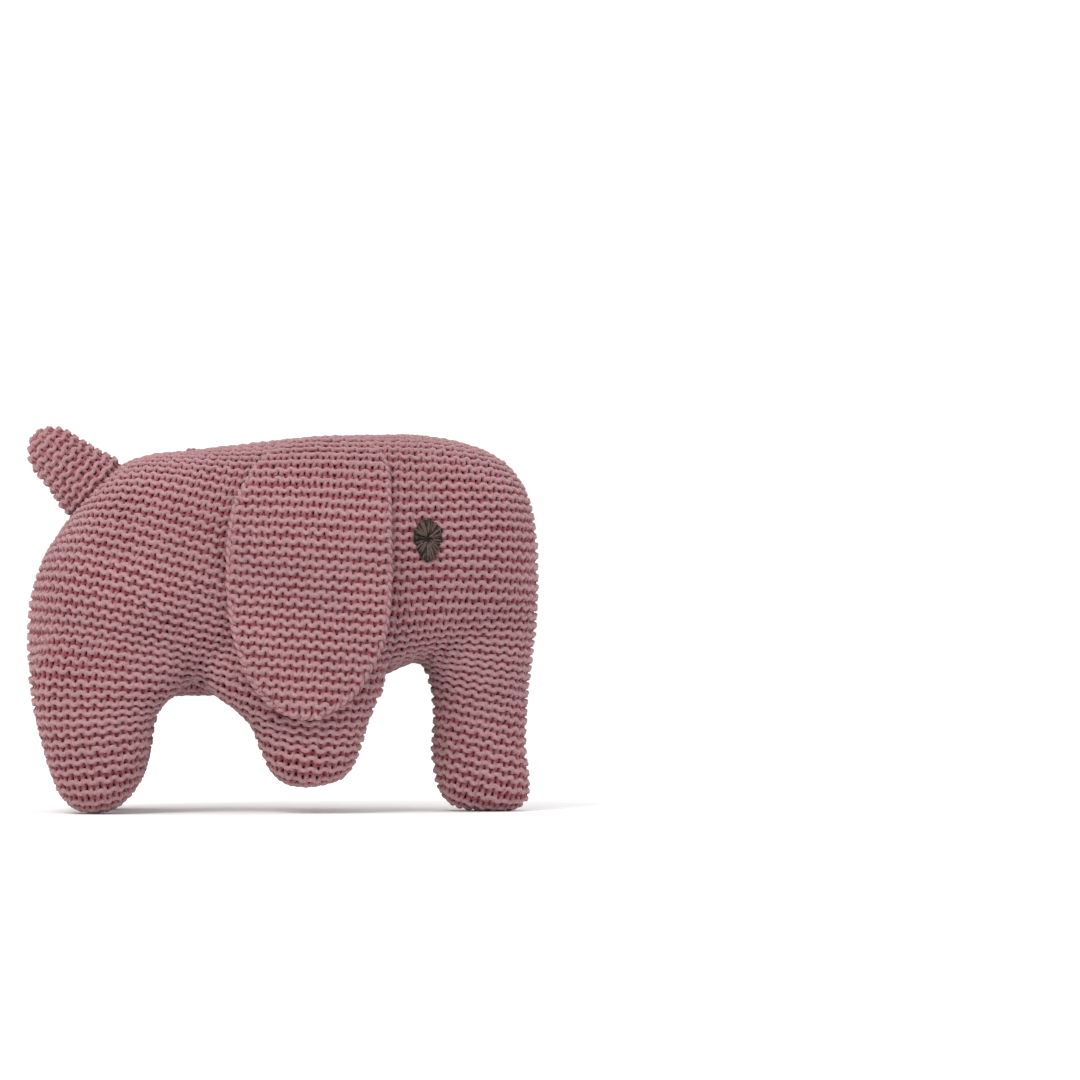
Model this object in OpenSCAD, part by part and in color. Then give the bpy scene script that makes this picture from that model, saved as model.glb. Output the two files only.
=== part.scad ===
/* [Body] */
// Length from the rump to the forehead
body_length = 204; // [190:1:220]
// Width across the flanks
body_width = 86; // [80:1:94]
// Height of the back above the floor
back_height = 150; // [142:1:158]
// Thickness of the knitted fabric
knit_thickness = 4; // [3:0.5:5]
// Thickness of the fabric flattened under a foot
sole_thickness = 1; // [0.6:0.1:1.4]
// Distance of the middle of a leg from the middle of the toy
leg_offset = 25; // [24:0.5:26]
// Roundness of the stuffed sections: 2 is an ellipse, more is squarer
section_power = 2.3; // [2:0.1:2.6]

/* [Seams] */
// Width of the yarn that sews two panels together
seam_width = 1.4; // [1:0.1:2]
// Gap between pieces that are sewn or laid against each other
piece_gap = 0.15; // [0.1:0.05:0.2]
// Diameter of the knot where the back seam ends
knot_diameter = 6; // [4:0.5:7]

/* [Ears] */
// Width of an ear, front to back
ear_width = 65; // [60:1:68]
// Drop of an ear from its root to its tip
ear_drop = 109; // [100:1:110]
// Thickness of each of the two layers of an ear
ear_layer = 2.2; // [1.8:0.1:2.4]
// Gap between the ear and the flank
ear_gap = 1; // [0.8:0.1:1.4]
// Width of the seam band round the rim of an ear
rim_width = 3.2; // [2.4:0.2:4]

/* [Tail] */
// Radius of the tail where it is sewn to the rump
tail_root_radius = 13.4; // [12:0.2:13.6]
// Radius of the tail's rounded tip
tail_tip_radius = 9.2; // [8:0.2:10]
// Length between the centres of the root and the tip
tail_length = 19.5; // [17:0.5:21]
// Lean of the tail backwards from upright
tail_lean = 47; // [44:1:50]
// Clearance round the root of the tail
tail_clearance = 0.4; // [0.3:0.1:0.6]

/* [Eyes] */
// Width of an embroidered eye
eye_width = 11; // [9:0.5:12]
// Height of an embroidered eye
eye_height = 16; // [14:0.5:18]
// Thickness of the embroidery
eye_thickness = 2.2; // [1.8:0.2:2.6]

/* [Hidden] */

pink = [0.76, 0.52, 0.55];
deep_pink = [0.62, 0.36, 0.40];
fibre_white = [0.93, 0.92, 0.90];
charcoal = [0.24, 0.21, 0.22];

// The stations below are for a toy of this size; the driving sizes stretch them
drawn_length = 204;
drawn_width = 86;
drawn_height = 150;
sx = body_length / drawn_length;
sy = body_width / drawn_width;
sz = back_height / drawn_height;

body_sides = 36;
trunk_sides = 20;
leg_sides = 20;
// Longer than the toy, for spaces that are cut right through it
far = 300;

// Body and head along X: [x, underside z, top z, half width]
body_stations = [
    [-102, 60, 78, 5], [-100.6, 53, 90, 15], [-96, 48, 104, 25], [-87, 46.5, 118, 33],
    [-74, 46, 133, 38.5], [-58, 46, 142, 41.5], [-36, 46.5, 145, 43], [-10, 46.5, 148, 43],
    [12, 48, 150, 42.5], [34, 52, 150.5, 40.5], [54, 58, 150, 37.5], [70, 60, 147, 34],
    [84, 62, 141.5, 29], [93, 65, 133.5, 22], [99, 70, 122, 14], [101.6, 78, 106, 5]
];

// Trunk up Z: [z, back x, front x, half width]
trunk_stations = [
    [0, 76, 91, 7], [1.5, 70, 95, 11.5], [5, 65.5, 97.5, 14], [12, 62, 98, 15.5],
    [22, 59.6, 97.4, 16], [36, 59.6, 97.4, 16.5], [50, 58.6, 98.4, 18], [64, 53, 100.2, 20],
    [80, 50, 101.8, 22], [98, 54, 101.6, 18], [108, 62, 98, 10]
];

// Rear leg up Z: [z, back x, front x, half width]
rear_leg_stations = [
    [0, -82, -69, 7], [2, -87, -64, 11.5], [6.5, -90.5, -59.5, 15], [14, -93, -55.5, 17],
    [24, -95, -53.2, 18], [36, -97, -50.5, 18], [47, -98.5, -46, 18], [58, -97, -44, 17],
    [70, -90, -48, 13], [78, -82, -56, 7]
];

// Front leg up Z: [z, back x, front x, half width]
front_leg_stations = [
    [10, 4, 17, 7], [11.5, -1, 23, 11.5], [15, -5, 27, 15], [22, -8.6, 30.2, 17],
    [32, -11.6, 33.2, 17.5], [42, -15, 36.4, 18], [52, -19, 40.5, 18], [64, -20, 41, 17],
    [78, -12, 34, 10]
];

// The gusset under the body reaches from the rump to the throat
gusset_front = 54 * sx;
gusset_top = 60 * sz;
neck_x = 46 * sx;

// Section of the body where the ear lies on it
ear_body_centre = 99 * sz;
ear_body_rise = 51.4 * sz;
ear_body_half = body_width / 2 + 0.2;

// Ear: root line and outline
ear_root_y = 25.5 * sy;
ear_centre_x = 9.5 * sx;
ear_root_z = 144.2 * sz;
ear_tip_z = ear_root_z - ear_drop + 1.6;
ear_stack = 2 * ear_layer + piece_gap;
root_seam_radius = 1.1;
root_seam_y = 20.5 * sy;
root_seam_z = 146.6 * sz;
root_seam_length = 0.66 * ear_width;

// Tail: the centre of its root lies just outside the rump
tail_x = -78.5 * sx;
tail_z = 131.5 * sz;
tail_skin = knit_thickness - 0.5;

// Eyes
eye_x = 57.2 * sx;
eye_z = 107.5 * sz;
eye_y = 37.9 * sy;
eye_yaw = 12;
eye_pitch = 3;
eye_taper = 0.62;

// Knot on the back seam
knot_x = -36.4 * sx;
knot_z = 144.6 * sz;

// Point i of a superellipse with half sizes a and b
function oval_point(a, b, i, sides) =
    let (t = 360 * (i + 0.5) / sides, c = cos(t), s = sin(t), p = 2 / section_power)
    [a * sign(c) * pow(abs(c), p), b * sign(s) * pow(abs(s), p)];

// Half a size after the fabric's thickness is taken off, never less than a thread
function slim(size, inset) = max(size - inset, 0.6);

// Rings of the body at an inset, one at each station
function body_rings(inset) = [
    for (s = body_stations)
        let (x = s[0] * (drawn_length / 2 - inset) / (drawn_length / 2) * sx,
             middle = (s[1] + s[2]) / 2 * sz, half = slim((s[2] - s[1]) / 2 * sz, inset),
             wide = slim(s[3] * sy, inset))
        [for (i = [0 : body_sides - 1])
            let (p = oval_point(wide, half, i, body_sides)) [x, p[0], middle + p[1]]]
];

// Rings of an upright limb at an inset; the lowest ring sits lift above the limb's foot
function limb_rings(stations, middle_y, inset, lift, sides) =
    let (foot = stations[0][0] * sz, crown = stations[len(stations) - 1][0] * sz)
    [for (s = stations)
        let (z = foot + lift + (s[0] * sz - foot) * (crown - foot - lift) / (crown - foot),
             middle = (s[1] + s[2]) / 2 * sx, half = slim((s[2] - s[1]) / 2 * sx, inset),
             wide = slim(s[3] * sy, inset))
        [for (i = [0 : sides - 1])
            let (p = oval_point(half, wide, i, sides)) [middle + p[0], middle_y + p[1], z]]
    ];

// Solid through a list of equal rings
module loft(rings) {
    count = len(rings);
    sides = len(rings[0]);
    points = [for (r = rings) for (p = r) p];
    first_cap = [for (i = [0 : sides - 1]) i];
    last_cap = [for (i = [0 : sides - 1]) (count - 1) * sides + sides - 1 - i];
    walls = [for (r = [0 : count - 2]) for (i = [0 : sides - 1])
        let (j = (i + 1) % sides, a = r * sides + i, b = r * sides + j)
        each [[a, a + sides, b], [b, a + sides, b + sides]]];
    polyhedron(points, concat([first_cap], walls, [last_cap]), convexity = 6);
}

module body_form(inset) {
    loft(body_rings(inset));
}

module trunk_form(inset, lift) {
    loft(limb_rings(trunk_stations, 0, inset, lift, trunk_sides));
}

module leg_form(stations, side, inset, lift) {
    loft(limb_rings(stations, side * leg_offset, inset, lift, leg_sides));
}

module whole_form(inset, lift) {
    body_form(inset);
    trunk_form(inset, lift);
    for (side = [-1, 1]) {
        leg_form(rear_leg_stations, side, inset, lift);
        leg_form(front_leg_stations, side, inset, lift);
    }
}

// Centre of the tail's root
module at_tail() {
    translate([tail_x, 0, tail_z]) rotate([0, -tail_lean, 0]) children();
}

// Hollow that the root of the tail turns in
module tail_socket() {
    at_tail() sphere(r = tail_root_radius + tail_clearance, $fn = 40);
}

// The knitted skin of the whole toy
module skin() {
    difference() {
        whole_form(0, 0);
        whole_form(knit_thickness, sole_thickness);
        tail_socket();
        seam_knot_form(piece_gap);
    }
}

// Everything at one side of the toy, clear of the middle by a distance
module half_space(side, clear) {
    translate([0, side * (clear + far / 2), back_height / 2]) cube([far, far, far], center = true);
}

// The space that the gusset closes, grown by a margin
module gusset_space(margin) {
    width = 2 * (leg_offset + margin);
    translate([gusset_front + margin - far, -width / 2, gusset_top + margin - far])
        cube([far, width, far]);
}

module middle_slab() {
    translate([0, 0, back_height / 2])
        cube([far, seam_width, far], center = true);
}

module side_panel(side) {
    color(pink) difference() {
        intersection() {
            skin();
            half_space(side, seam_width / 2 + piece_gap);
        }
        gusset_space(seam_width / 2 + piece_gap);
    }
}

module side_panel_right() {
    side_panel(-1);
}

module side_panel_left() {
    side_panel(1);
}

module underbody_gusset() {
    color(pink) intersection() {
        skin();
        gusset_space(-seam_width / 2 - piece_gap);
    }
}

// Where the back of the trunk has its own seam
module trunk_back_space() {
    translate([gusset_front, -far / 2, -far / 2])
        cube([80 * sx - gusset_front, far, gusset_top + far / 2]);
}

module spine_seam() {
    color(deep_pink) difference() {
        intersection() {
            skin();
            middle_slab();
        }
        gusset_space(seam_width / 2 + piece_gap);
        trunk_back_space();
    }
}

module trunk_back_seam() {
    color(deep_pink) intersection() {
        difference() {
            skin();
            gusset_space(seam_width / 2 + piece_gap);
        }
        middle_slab();
        translate([-piece_gap, 0, -piece_gap]) trunk_back_space();
    }
}

module gusset_seam(side) {
    color(deep_pink) difference() {
        intersection() {
            skin();
            gusset_space(seam_width / 2);
            half_space(side, piece_gap);
        }
        gusset_space(-seam_width / 2);
    }
}

module gusset_seam_right() {
    gusset_seam(-1);
}

module gusset_seam_left() {
    gusset_seam(1);
}

module seam_knot_form(margin) {
    translate([knot_x, 0, knot_z]) sphere(d = knot_diameter + 2 * margin, $fn = 32);
}

module seam_knot() {
    color(deep_pink) seam_knot_form(0);
}

// Inside of the body skin, a little smaller so the filling stays clear
module filling_space(margin) {
    body_form(knit_thickness + margin);
}

module body_stuffing() {
    color(fibre_white) difference() {
        filling_space(2 * piece_gap);
        translate([neck_x - piece_gap, -far / 2, -far / 2]) cube(far);
        tail_socket();
    }
}

module head_stuffing() {
    color(fibre_white) intersection() {
        filling_space(2 * piece_gap);
        translate([neck_x + piece_gap, -far / 2, -far / 2]) cube(far);
    }
}

module trunk_stuffing() {
    color(fibre_white) difference() {
        trunk_form(knit_thickness + 2 * piece_gap, sole_thickness);
        filling_space(0);
    }
}

module leg_stuffing(stations, side) {
    color(fibre_white) difference() {
        leg_form(stations, side, knit_thickness + 2 * piece_gap, sole_thickness);
        filling_space(0);
    }
}

module front_right_leg_stuffing() {
    leg_stuffing(front_leg_stations, -1);
}

module front_left_leg_stuffing() {
    leg_stuffing(front_leg_stations, 1);
}

module rear_right_leg_stuffing() {
    leg_stuffing(rear_leg_stations, -1);
}

module rear_left_leg_stuffing() {
    leg_stuffing(rear_leg_stations, 1);
}

// Point of the body's section at an angle from the side to the top, pushed out by a distance
function flank_point(angle, out) =
    let (p = 2 / section_power)
    [(ear_body_half + out) * pow(cos(angle), p),
     ear_body_centre + (ear_body_rise + out) * pow(sin(angle), p)];

// Section of one layer of the ear, which follows the flank down and then hangs free
module ear_section(inner, outer) {
    angles = [58, 54, 49, 44, 38, 31, 24, 17, 10, 4];
    near_side = [for (a = angles) flank_point(a, inner)];
    far_side = [for (a = [for (i = [len(angles) - 1 : -1 : 0]) angles[i]]) flank_point(a, outer)];
    hang = [
        [ear_body_half + inner, ear_body_centre - 10],
        [ear_body_half + inner, 0],
        [ear_body_half + outer, 0],
        [ear_body_half + outer, ear_body_centre - 10]
    ];
    difference() {
        polygon(concat(near_side, hang, far_side));
        square([ear_root_y, far]);
    }
}

// Outline of the ear seen from the side, drawn in by a margin
module ear_outline(margin) {
    w = ear_width / 2;
    drop = ear_drop;
    offset(delta = -margin) translate([ear_centre_x, ear_tip_z]) polygon([
        [0.02 * w, drop * 1.18], [-0.58 * w, drop * 0.93], [-0.75 * w, drop * 0.87],
        [-0.90 * w, drop * 0.80], [-0.98 * w, drop * 0.68], [-w, drop * 0.55],
        [-0.98 * w, drop * 0.42], [-0.93 * w, drop * 0.32], [-0.84 * w, drop * 0.22],
        [-0.68 * w, drop * 0.12], [-0.42 * w, drop * 0.04], [-0.06 * w, 0],
        [0.28 * w, drop * 0.03], [0.56 * w, drop * 0.09], [0.76 * w, drop * 0.18],
        [0.90 * w, drop * 0.27], [0.97 * w, drop * 0.38], [w, drop * 0.52],
        [w, drop * 0.70], [0.96 * w, drop * 0.84], [0.86 * w, drop * 0.93], [0.44 * w, drop * 1.18]
    ]);
}

// One layer of an ear between two distances from the flank
module ear_layer_form(side, inner, outer, margin) {
    intersection() {
        translate([ear_centre_x - far / 2, 0, 0])
            rotate([90, 0, 90]) linear_extrude(far) scale([side, 1]) ear_section(inner, outer);
        translate([0, side < 0 ? 0 : far / 2, 0])
            rotate([90, 0, 0]) linear_extrude(far / 2) ear_outline(margin);
    }
}

module ear_outer(side) {
    start = ear_gap + ear_layer + piece_gap;
    color(pink) ear_layer_form(side, start, start + ear_layer, rim_width);
}

module ear_lining(side) {
    color(pink) ear_layer_form(side, ear_gap, ear_gap + ear_layer, rim_width);
}

module ear_rim_seam(side) {
    color(deep_pink) difference() {
        ear_layer_form(side, ear_gap, ear_gap + ear_stack, 0);
        ear_layer_form(side, ear_gap - 1, ear_gap + ear_stack + 1, rim_width - piece_gap);
    }
}

module ear_root_seam(side) {
    color(deep_pink)
        translate([ear_centre_x + 2 - root_seam_length / 2, side * root_seam_y, root_seam_z])
        rotate([0, 90, 0]) cylinder(r = root_seam_radius, h = root_seam_length, $fn = 24);
}

module ear_right_outer() {
    ear_outer(-1);
}

module ear_right_lining() {
    ear_lining(-1);
}

module ear_right_rim_seam() {
    ear_rim_seam(-1);
}

module ear_right_root_seam() {
    ear_root_seam(-1);
}

module ear_left_outer() {
    ear_outer(1);
}

module ear_left_lining() {
    ear_lining(1);
}

module ear_left_rim_seam() {
    ear_rim_seam(1);
}

module ear_left_root_seam() {
    ear_root_seam(1);
}

// Blunt cone with round ends, drawn in by an inset
module tail_form(inset) {
    hull() {
        sphere(r = tail_root_radius - inset, $fn = 32);
        translate([0, 0, tail_length]) sphere(r = tail_tip_radius - inset, $fn = 28);
    }
}

module tail_cover() {
    color(pink) at_tail() difference() {
        tail_form(0);
        tail_form(tail_skin);
    }
}

module tail_stuffing() {
    color(fibre_white) at_tail() tail_form(tail_skin + piece_gap);
}

// Ring of stitches in the rump round the tail's root
module tail_root_seam() {
    ring_radius = tail_root_radius + tail_clearance + seam_width / 2;
    color(deep_pink) at_tail() translate([0, 0, -3]) rotate_extrude($fn = 48)
        translate([ring_radius, 0]) circle(d = seam_width, $fn = 20);
}

// Egg-shaped pad of satin stitches, broad at the top
module eye(side) {
    big = eye_width / 2;
    small = eye_taper * big;
    color(charcoal) mirror([0, side > 0 ? 1 : 0, 0])
        translate([eye_x, -eye_y, eye_z]) rotate([90 - eye_pitch, 0, eye_yaw])
        translate([0, 0, -eye_thickness]) hull() {
            translate([0, eye_height / 2 - big]) cylinder(r = big, h = eye_thickness, $fn = 32);
            translate([0, small - eye_height / 2]) cylinder(r = small, h = eye_thickness, $fn = 32);
        }
}

module eye_right() {
    eye(-1);
}

module eye_left() {
    eye(1);
}

side_panel_right();
side_panel_left();
underbody_gusset();
spine_seam();
trunk_back_seam();
gusset_seam_right();
gusset_seam_left();
seam_knot();
body_stuffing();
head_stuffing();
trunk_stuffing();
front_right_leg_stuffing();
front_left_leg_stuffing();
rear_right_leg_stuffing();
rear_left_leg_stuffing();
ear_right_outer();
ear_right_lining();
ear_right_rim_seam();
ear_right_root_seam();
ear_left_outer();
ear_left_lining();
ear_left_rim_seam();
ear_left_root_seam();
tail_cover();
tail_stuffing();
tail_root_seam();
eye_right();
eye_left();
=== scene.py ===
"""A stuffed elephant knitted in garter stitch, dressed stitch by stitch over its CAD frame."""

import logging
import math
from dataclasses import dataclass, field
from enum import Enum

import bmesh
import bpy
import numpy as np
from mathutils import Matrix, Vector
from mathutils.bvhtree import BVHTree


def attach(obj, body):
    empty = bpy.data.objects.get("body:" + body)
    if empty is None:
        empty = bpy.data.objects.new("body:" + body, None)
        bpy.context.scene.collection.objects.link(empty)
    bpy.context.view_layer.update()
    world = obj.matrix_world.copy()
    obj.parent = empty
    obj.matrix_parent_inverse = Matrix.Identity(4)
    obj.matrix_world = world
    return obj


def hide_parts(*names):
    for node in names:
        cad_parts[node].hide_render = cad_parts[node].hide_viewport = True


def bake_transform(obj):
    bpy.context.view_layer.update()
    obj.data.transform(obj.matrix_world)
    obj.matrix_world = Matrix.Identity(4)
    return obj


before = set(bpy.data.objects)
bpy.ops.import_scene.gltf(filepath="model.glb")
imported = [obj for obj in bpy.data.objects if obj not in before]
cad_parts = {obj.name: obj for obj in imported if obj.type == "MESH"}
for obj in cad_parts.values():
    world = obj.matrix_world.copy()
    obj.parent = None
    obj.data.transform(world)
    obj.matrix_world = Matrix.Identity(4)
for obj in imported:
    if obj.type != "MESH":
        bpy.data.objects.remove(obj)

logging.basicConfig(level=logging.INFO, format="%(message)s")
log = logging.getLogger("elephant")

MM = 0.001
SEED = 20
BODY = "toy_body"
MIRROR = (1, -1, 1)
OVAL_POWER = 2.3


class Side(Enum):
    """Which half of the toy a piece belongs to, with the sign of its Y axis."""

    RIGHT = -1
    LEFT = 1

    @property
    def word(self) -> str:
        """The side's name as it is used in the names of pieces."""
        return self.name.lower()


class Facing(Enum):
    """Which part of a course's loops stands out at the front of the fabric."""

    HEADS_OUT = 1
    FEET_OUT = -1


class Slot(Enum):
    """The record's material slots."""

    KNIT = "pink_knit"
    SEAM = "seam_yarn"
    FIBRE = "fibre_filling"
    EYE = "eye_yarn"


class Seamline(Enum):
    """The two kinds of seam that edge a side panel."""

    MIDDLE = "middle"
    GUSSET = "gusset"


# ---------------------------------------------------------------------------
# Arrays and meshes
# ---------------------------------------------------------------------------


@dataclass
class Surface:
    """A triangle mesh held as arrays, in millimetres."""

    points: np.ndarray
    triangles: np.ndarray

    def corners(self) -> tuple[np.ndarray, np.ndarray, np.ndarray]:
        """The three corners of every triangle."""
        return tuple(self.points[self.triangles[:, i]] for i in range(3))

    def face_normals(self) -> np.ndarray:
        """Normals of the triangles, as long as twice their area."""
        a, b, c = self.corners()
        return np.cross(b - a, c - a)

    def point_normals(self) -> np.ndarray:
        """Unit normals at the points."""
        total = np.zeros_like(self.points)
        normals = self.face_normals()
        for i in range(3):
            np.add.at(total, self.triangles[:, i], normals)
        return unit(total)

    def edges(self) -> np.ndarray:
        """The two ends of every triangle's three edges, the lower number first."""
        tris = self.triangles
        return np.sort(np.vstack([tris[:, [0, 1]], tris[:, [1, 2]], tris[:, [2, 0]]]), 1)

    def part(self, keep: np.ndarray) -> "Surface":
        """The surface of the triangles that are kept, with its own points.

        Args:
            keep: one truth value for each triangle.

        Returns:
            The smaller surface.
        """
        chosen = self.triangles[keep]
        used, index = np.unique(chosen, return_inverse=True)
        return Surface(self.points[used], index.reshape(-1, 3))


def unit(vectors: np.ndarray) -> np.ndarray:
    """Vectors scaled to length one."""
    return vectors / np.maximum(np.linalg.norm(vectors, axis=-1, keepdims=True), 1e-12)


def length_along(line: np.ndarray) -> np.ndarray:
    """How far along a line of points each point is."""
    return np.concatenate([[0], np.cumsum(np.linalg.norm(np.diff(line, axis=0), axis=1))])


def vectors_at(spots: np.ndarray, known: np.ndarray, vectors: np.ndarray) -> np.ndarray:
    """Vectors between the known spots of a line, one for each spot asked for."""
    return np.stack([np.interp(spots, known, vectors[:, k]) for k in range(3)], 1)


def round_angles(count: int) -> np.ndarray:
    """Evenly spaced angles once round a circle."""
    return 2 * math.pi * np.arange(count) / count


def ring_bands(rows: int, sides: int) -> list[np.ndarray]:
    """The triangles between each ring of points and the next.

    Args:
        rows: how many rings there are.
        sides: how many points each ring has.

    Returns:
        Blocks of triangles, two for each gap between rings.
    """
    ring = np.arange(sides)
    beside = (ring + 1) % sides
    bands = []
    for row in range(rows - 1):
        low, high = row * sides, (row + 1) * sides
        bands += [np.stack([low + ring, low + beside, high + beside], 1),
                  np.stack([low + ring, high + beside, high + ring], 1)]
    return bands


def grid_triangles(index: np.ndarray) -> np.ndarray:
    """Two triangles for every cell of a grid of point numbers."""
    a, b, c, d = index[:-1, :-1], index[:-1, 1:], index[1:, 1:], index[1:, :-1]
    return np.vstack([np.stack([a, b, c], -1).reshape(-1, 3), np.stack([a, c, d], -1).reshape(-1, 3)])


def smooth_step(low: float, high: float, value: np.ndarray) -> np.ndarray:
    """A soft change from 0 at low to 1 at high."""
    share = np.clip((value - low) / (high - low), 0.0, 1.0)
    return share * share * (3 - 2 * share)


def through_stations(stations: np.ndarray, steps: int) -> np.ndarray:
    """Rows of a station table with smooth rows added between them.

    Args:
        stations: one row per station.
        steps: how many rows each gap becomes.

    Returns:
        The longer table, following a Catmull-Rom curve through the stations.
    """
    rows = np.asarray(stations, float)
    before = np.vstack([2 * rows[0] - rows[1], rows[:-2]])
    after = np.vstack([rows[2:], 2 * rows[-1] - rows[-2]])
    first, last = rows[:-1], rows[1:]
    found = []
    for step in range(steps):
        t = step / steps
        found.append(
            0.5 * (2 * first + (last - before) * t
                   + (2 * before - 5 * first + 4 * last - after) * t**2
                   + (3 * first - before - 3 * last + after) * t**3)
        )
    return np.vstack([np.stack(found, 1).reshape(-1, rows.shape[1]), rows[-1]])


def on_side(side: Side, points: np.ndarray, faces: np.ndarray) -> tuple[np.ndarray, np.ndarray]:
    """Points and faces made for the right side, mirrored if they are for the left."""
    if side is Side.LEFT:
        return points * MIRROR, faces[:, ::-1]
    return points, faces


def new_mesh(name: str, points: np.ndarray, faces: np.ndarray) -> bpy.types.Object:
    """A smooth mesh object made from arrays.

    Args:
        name: the piece's name.
        points: the corners in millimetres.
        faces: triangles or quads, one row each.

    Returns:
        The object, linked to the scene.
    """
    mesh = bpy.data.meshes.new(name)
    count, sides = faces.shape
    mesh.vertices.add(len(points))
    mesh.vertices.foreach_set("co", (points * MM).astype(np.float32).ravel())
    mesh.loops.add(count * sides)
    mesh.loops.foreach_set("vertex_index", faces.astype(np.int32).ravel())
    mesh.polygons.add(count)
    mesh.polygons.foreach_set("loop_start", np.arange(0, count * sides, sides, dtype=np.int32))
    mesh.update(calc_edges=True)
    mesh.validate()
    mesh.shade_smooth()
    piece = bpy.data.objects.new(name, mesh)
    bpy.context.scene.collection.objects.link(piece)
    return piece


def read_mesh(piece: bpy.types.Object) -> Surface:
    """The triangles of an object after its modifiers, as arrays in millimetres."""
    seen = piece.evaluated_get(bpy.context.evaluated_depsgraph_get())
    mesh = seen.to_mesh()
    mesh.calc_loop_triangles()
    points = np.empty(len(mesh.vertices) * 3, np.float32)
    mesh.vertices.foreach_get("co", points)
    triangles = np.empty(len(mesh.loop_triangles) * 3, np.int32)
    mesh.loop_triangles.foreach_get("vertices", triangles)
    seen.to_mesh_clear()
    return Surface(points.reshape(-1, 3).astype(float) / MM, triangles.reshape(-1, 3))


# ---------------------------------------------------------------------------
# The stuffed shape under the knitting
# ---------------------------------------------------------------------------


@dataclass
class Loft:
    """A closed soft shape through oval rings.

    An upright loft has stations [z, back x, front x, half width] and a middle y.
    A lying loft has stations [x, underside z, top z, half width].
    """

    stations: list[list[float]]
    upright: bool = True
    middle_y: float = 0.0
    sides: int = 48
    steps: int = 5
    power: float = OVAL_POWER

    def between(self, low: float, high: float) -> "Loft":
        """The same loft with only its stations from low to high."""
        kept = [row for row in self.stations if low <= row[0] <= high]
        return Loft(kept, self.upright, self.middle_y, self.sides, self.steps, self.power)

    def rings(self, inset: float, lift: float) -> np.ndarray:
        """Rings of points.

        Args:
            inset: how far the rings are drawn in.
            lift: how far an upright loft's foot is raised.

        Returns:
            An array of rings, each of as many points as there are sides.
        """
        rows = through_stations(np.array(self.stations), self.steps)
        angle = 2 * math.pi * (np.arange(self.sides) + 0.5) / self.sides
        across = np.sign(np.cos(angle)) * np.abs(np.cos(angle)) ** (2 / self.power)
        along = np.sign(np.sin(angle)) * np.abs(np.sin(angle)) ** (2 / self.power)
        place = rows[:, 0]
        middle = (rows[:, 1] + rows[:, 2])[:, None] / 2
        half = np.maximum((rows[:, 2] - rows[:, 1]) / 2 - inset, 0.5)[:, None]
        wide = np.maximum(rows[:, 3] - inset, 0.5)[:, None]
        if self.upright:
            foot, crown = place[0], place[-1]
            level = foot + lift + (place - foot) * (crown - foot - lift) / (crown - foot)
            return np.stack([middle + half * across, self.middle_y + wide * along,
                             np.repeat(level[:, None], self.sides, 1)], -1)
        reach = np.abs(place).max()
        station = (place * (reach - inset) / reach)[:, None]
        return np.stack([np.repeat(station, self.sides, 1), wide * across, middle + half * along], -1)

    def solid(self, name: str, inset: float = 0.0, lift: float = 0.0) -> bpy.types.Object:
        """The closed loft as a mesh object, drawn in and lifted."""
        rings = self.rings(inset, lift)
        count = len(rings)
        first, last = rings[0].mean(0), rings[-1].mean(0)
        points = np.vstack([rings.reshape(-1, 3), first, last])
        ring = np.arange(self.sides)
        beside = (ring + 1) % self.sides
        tip, end = count * self.sides, (count - 1) * self.sides
        caps = [np.stack([np.full_like(ring, tip), beside, ring], 1),
                np.stack([np.full_like(ring, tip + 1), end + ring, end + beside], 1)]
        return new_mesh(name, points, np.vstack(ring_bands(count, self.sides) + caps))


# Where the legs stand and where the gusset ends; behind GUSSET_BACK its top falls by BACK_FALL
LEG_OFFSET = 25.0
GUSSET_TOP = 60.0
GUSSET_FRONT = 54.0
GUSSET_BACK = -78.0
BACK_FALL = 0.8

TORSO = Loft(
    [[-102, 60, 76, 5], [-100.6, 53, 87.5, 15], [-96, 48, 101.5, 25], [-87, 46.5, 115.5, 33],
     [-74, 46, 132, 38.5], [-58, 46, 141.5, 41.5], [-36, 46.5, 144.2, 43], [-10, 46.5, 147.2, 43],
     [12, 48, 149.6, 42.5], [34, 52, 150.2, 40.5], [54, 60, 150.4, 37.5], [70, 62, 147.9, 34],
     [84, 63, 143.2, 29], [93, 65, 136.2, 22.5], [99, 69, 125, 15], [102, 77, 108, 6]],
    upright=False, sides=64,
)
TRUNK = Loft(
    [[0, 72, 95, 8], [1.5, 67, 97.8, 12], [5, 62.6, 99.2, 14.2], [12, 60.2, 98.8, 15.5],
     [22, 59, 97.6, 16], [36, 59.6, 97.4, 16.5], [50, 58.6, 98.4, 18], [64, 53, 100.2, 20],
     [80, 50, 101.8, 22], [98, 54, 101.6, 18], [108, 62, 98, 10]],
)
REAR_LEG = [[0, -79.5, -70, 6], [1.6, -84.2, -65.2, 10.5], [6, -88.5, -60.2, 14.5], [14, -92, -55, 17],
            [24, -95, -53, 18], [36, -98, -50.8, 18], [42, -99.3, -48.6, 18], [47, -100.3, -42.5, 18],
            [58, -100.6, -35, 17], [70, -93, -44, 13], [78, -83, -56, 7]]
FRONT_LEG = [[10.4, 2, 13.5, 7], [12, -2, 21, 11.5], [15.2, -5, 26.6, 15], [22, -8.6, 30.2, 17],
             [32, -12, 33.2, 17.5], [39, -17, 35.2, 18], [44, -23, 37.5, 18], [50, -30, 40.5, 18],
             [64, -30, 41, 17], [78, -14, 34, 10]]


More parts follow.
